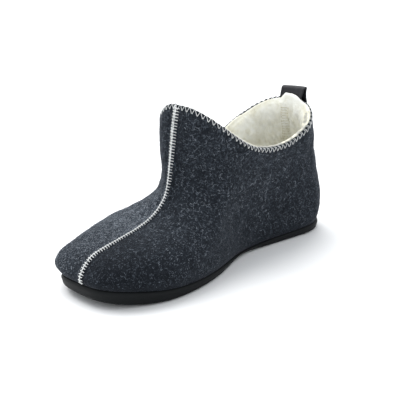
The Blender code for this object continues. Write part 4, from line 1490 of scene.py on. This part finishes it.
# %% Side view of the loop
LOOP_THICKNESS, LOOP_RISE = 1.6, 10.2
LOOP_LEAN, LOOP_LEAN_BACK, LOOP_CURL, LOOP_FOLD = 0.09, 4.2, 1.3, 1.4
LOOP_OUTER_LEG, LOOP_INNER_LEG = 15.0, 10.0
LOOP_LEG_STEPS, LOOP_FOLD_STEPS, LOOP_COLUMNS = 9, 16, 30
LOOP_EDGE, LOOP_EDGE_THIN, LOOP_ALMOST = 1.1, 0.45, 0.999


def back_face(x, height):
    """Points of the upper's outside at its back, for one place across, and the directions out of them."""
    side = MEDIAL if x > 0 else LATERAL
    near = back_station(height)
    far = near + HEEL_ROUND
    for _ in range(HALVINGS):
        station = (near + far) / 2
        short = half_width(station, height, side) < abs(x)
        near, far = np.where(short, station, near), np.where(short, far, station)
    return placed(x, station, height), side_normals(station, height, side)


def loop_path():
    """Middle line of the strap from outer to inner end: places behind the felt's middle, and rises."""
    apart = (WALL + LOOP_THICKNESS) / 2 + GAP
    bottom, top = LOOP_THICKNESS, LOOP_RISE - LOOP_FOLD - LOOP_THICKNESS / 2
    share = np.linspace(0, 1, LOOP_LEG_STEPS + 1)
    turn = np.linspace(0, np.pi, LOOP_FOLD_STEPS + 1)
    free = np.stack([apart + (LOOP_FOLD - apart) * ease(share), bottom + (top - bottom) * share], -1)
    fold = np.stack([LOOP_FOLD * np.cos(turn), top + LOOP_FOLD * np.sin(turn)], -1)
    legs = []
    for length in (LOOP_OUTER_LEG, LOOP_INNER_LEG):
        rise = -length + (length + bottom) * share[:-1]
        legs.append(np.concatenate([np.stack([np.full_like(rise, apart), rise], -1), free[:-1]]))
    return np.concatenate([legs[0], fold, legs[1][::-1] * (-1, 1)])


def loop_outline(thickness):
    """Closed outline of the folded strap: its outer face from end to end, then its inner face back."""
    path = loop_path()
    run = unit(np.gradient(path, axis=0))
    out = np.stack([run[:, 1], -run[:, 0]], -1) * thickness / 2
    ends = path[:1] - run[:1] * thickness / 4, path[-1:] + run[-1:] * thickness / 4
    outline = np.concatenate([ends[0], path + out, ends[1], (path - out)[::-1]])
    free = np.maximum(outline[:, 1] - LOOP_THICKNESS, 0) / (LOOP_RISE - LOOP_THICKNESS)
    outline[:, 0] += LOOP_LEAN_BACK * free**LOOP_CURL
    return outline


print("the strap is", round(run_length(loop_path())[-1]), "mm long over its fold")

# %% Strap


def on_loop(share, behind, rise):
    """Points and normals at a share across the strap, from places behind the felt's middle and rises."""
    lean = 1 + LOOP_LEAN * share
    height = COLLAR_BACK + np.where(rise > 0, rise * lean, rise)
    points, out = back_face(LOOP_OFFSET + share * LOOP_WIDTH / 2, height)
    return points + out * (behind - WALL / 2)[:, None], out


def make_loop():
    """The folded strap as rings across its width, thinner at both long edges."""
    rings = []
    for share in np.sin(np.linspace(-np.pi / 2, np.pi / 2, LOOP_COLUMNS)) * LOOP_ALMOST:
        inset = (1 - abs(share)) * LOOP_WIDTH / 2 / LOOP_EDGE
        thick = LOOP_THICKNESS * (LOOP_EDGE_THIN + (1 - LOOP_EDGE_THIN) * float(rounding(inset, 2.0)))
        rings.append(on_loop(share, *loop_outline(thick).T)[0])
    size = len(rings[0])
    numbers = np.arange(size * len(rings)).reshape(len(rings), size)
    faces = [face for first, second in zip(numbers, numbers[1:]) for face in ring_band(first, second)]
    for ring, turned in ((numbers[0], -1), (numbers[-1], 1)):
        for i in range(size // 2):
            corners = list(dict.fromkeys((ring[i], ring[i + 1], ring[-i - 1], ring[-i])))
            faces.append(tuple(corners[::turned]))
    return np.concatenate(rings), faces


loop_points, loop_faces = make_loop()
print("the loop reaches", loop_points[:, 2].max().round(1), "mm up")

# %% Leather


def leather_material():
    """Black calf leather with fine grain, a little worn to grey."""
    made, tree, shader = start_material("black_leather", roughness=0.5, specular=0.15)
    grain = use_group(tree, PEBBLE_GRAIN, Scale=1500.0, Softness=0.35)
    wear = use_group(tree, UNEVEN_TONE, Scale=180.0, Contrast=2.0)
    stops = [(0.0, (0.008, 0.008, 0.010)), (0.7, (0.018, 0.018, 0.021)), (1.0, (0.036, 0.036, 0.040))]
    base_colour(tree, shader, wear.outputs["Tone"], stops)
    bump(tree, shader, grain.outputs["Height"], strength=0.35, distance=0.25)
    return made


loop = piece("leather_loop", loop_points, loop_faces, leather_material(), "leather")
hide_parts("pull_loop")

# %% Stitches that hold the loop
LOOP_STITCHES, LOOP_STITCH_RISE, LOOP_STITCH_RADIUS, LOOP_STITCH_LAY = 9, -12.0, 0.32, 1.2
LOOP_STITCH_REACH, LOOP_STITCH_HALF, LOOP_STITCH_STEPS = 0.8, 0.07, 8
LOOP_STITCH_LIFT, LOOP_STITCH_DIVE, LOOP_DIVE_POWER, OFF_MIDDLE = 0.22, 0.5, 4, 1e-3
BLACK_THREAD = thread_material("black_thread", (0.012, 0.012, 0.013), (0.05, 0.05, 0.055))


def loop_stitches():
    """Paths and normals of the stitches across the outer leg of the strap."""
    face = (WALL + LOOP_THICKNESS) / 2 + GAP + LOOP_THICKNESS / 2
    paths, normals = [], []
    for stitch in np.linspace(-LOOP_STITCH_REACH, LOOP_STITCH_REACH, LOOP_STITCHES):
        path, out = [], []
        for step in np.linspace(-1, 1, LOOP_STITCH_STEPS):
            lifted = face + LOOP_STITCH_LIFT - LOOP_STITCH_DIVE * step**LOOP_DIVE_POWER
            place = np.array([lifted]), np.array([LOOP_STITCH_RISE])
            point, normal = on_loop(stitch + LOOP_STITCH_HALF * step + OFF_MIDDLE, *place)
            path.append(point[0])
            out.append(normal[0])
        paths.append(path)
        normals.append(out)
    return np.array(paths), np.array(normals)


loop_threads = twisted_threads(*loop_stitches(), LOOP_STITCH_RADIUS, LOOP_STITCH_LAY)
piece("loop_stitches", *loop_threads, BLACK_THREAD)

# %% [markdown]
# ## Floor, light and camera
# The slipper stands on a plain pale floor under one broad soft light and an even sky. The light is a sun
# with a wide disc, because a sun lights the whole floor evenly. It comes from above on the outer side, so
# the inner side that faces the camera is in soft shade, as in the photo. The camera stands in front of the
# inner side and looks down a little, at the angle that the photo's outline, seam and collar give.

# %% Floor and light
FLOOR_HALF = 12.0
SUN_STRENGTH, SUN_ANGLE, SKY_STRENGTH = 3.3, 60.0, 1.08
SUN_FROM, SKY_COLOUR = (-0.60, 0.12, 1.0), (0.94, 0.97, 1.0)


def make_floor():
    """A wide pale floor."""
    made, tree, shader = start_material("pale_floor", roughness=0.9, specular=0.0)
    tone = use_group(tree, UNEVEN_TONE, Scale=1.5, Contrast=0.3)
    base_colour(tree, shader, tone.outputs["Tone"], [(0.0, (0.83, 0.83, 0.83)), (1.0, (0.85, 0.85, 0.85))])
    mesh = bpy.data.meshes.new("floor")
    corners = [(-1, -1), (1, -1), (1, 1), (-1, 1)]
    mesh.from_pydata([(x * FLOOR_HALF, y * FLOOR_HALF, 0) for x, y in corners], [], [(0, 1, 2, 3)])
    mesh.materials.append(made)
    floor = bpy.data.objects.new("floor", mesh)
    bpy.context.scene.collection.objects.link(floor)
    floor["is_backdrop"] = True


def make_light():
    """One soft sun and an even sky."""
    lamp = bpy.data.lights.new("soft_sun", "SUN")
    lamp.energy = SUN_STRENGTH
    lamp.angle = np.radians(SUN_ANGLE)
    sun = bpy.data.objects.new("soft_sun", lamp)
    sun.rotation_mode = "QUATERNION"
    sun.rotation_quaternion = Vector(SUN_FROM).to_track_quat("Z", "Y")
    bpy.context.scene.collection.objects.link(sun)
    world = bpy.data.worlds.new("even_sky")
    world.use_nodes = True
    sky = world.node_tree.nodes["Background"]
    sky.inputs["Color"].default_value = (*SKY_COLOUR, 1.0)
    sky.inputs["Strength"].default_value = SKY_STRENGTH
    bpy.context.scene.world = world
    bpy.context.scene.view_settings.view_transform = "Standard"


make_floor()
make_light()
print("sun from", SUN_FROM)

# %% Camera
CAMERA_AZIMUTH, CAMERA_ELEVATION, CAMERA_ROLL = 46.002, 18.254, -2.215
CAMERA_DISTANCE, CAMERA_LENS = 739.5, 78.065
CAMERA_AIM = (3.7, 0.0, 48.13)


def make_camera():
    """Camera round a point of the slipper, rolled a little."""
    azimuth, elevation = np.radians([CAMERA_AZIMUTH, CAMERA_ELEVATION])
    level = np.cos(elevation)
    back = Vector((np.sin(azimuth) * level, -np.cos(azimuth) * level, np.sin(elevation)))
    lens = bpy.data.cameras.new("camera")
    lens.lens = CAMERA_LENS
    made = bpy.data.objects.new("camera", lens)
    roll = Matrix.Rotation(np.radians(CAMERA_ROLL), 4, "Z")
    turn = back.to_track_quat("Z", "Y").to_matrix().to_4x4() @ roll
    made.matrix_world = Matrix.Translation((Vector(CAMERA_AIM) + back * CAMERA_DISTANCE) * MM) @ turn
    bpy.context.scene.collection.objects.link(made)
    bpy.context.scene.camera = made
    return made


print("camera at", [round(c, 3) for c in make_camera().matrix_world.translation])

# %% [markdown]
# ## Last look
# Both boxes, of the solids and of the dressed slipper, are printed. The dressed slipper has to keep the
# solids' size.

# %% Sizes and finish
boxes = {"cad": [list(corner) for corner in CAD_BOX], "visual": [list(corner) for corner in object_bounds()]}
print("triangles in all:", sum(triangle_counts.values()), "largest:", max(triangle_counts.values()))
for name, box in boxes.items():
    print(name, "box in mm:", in_mm(box))
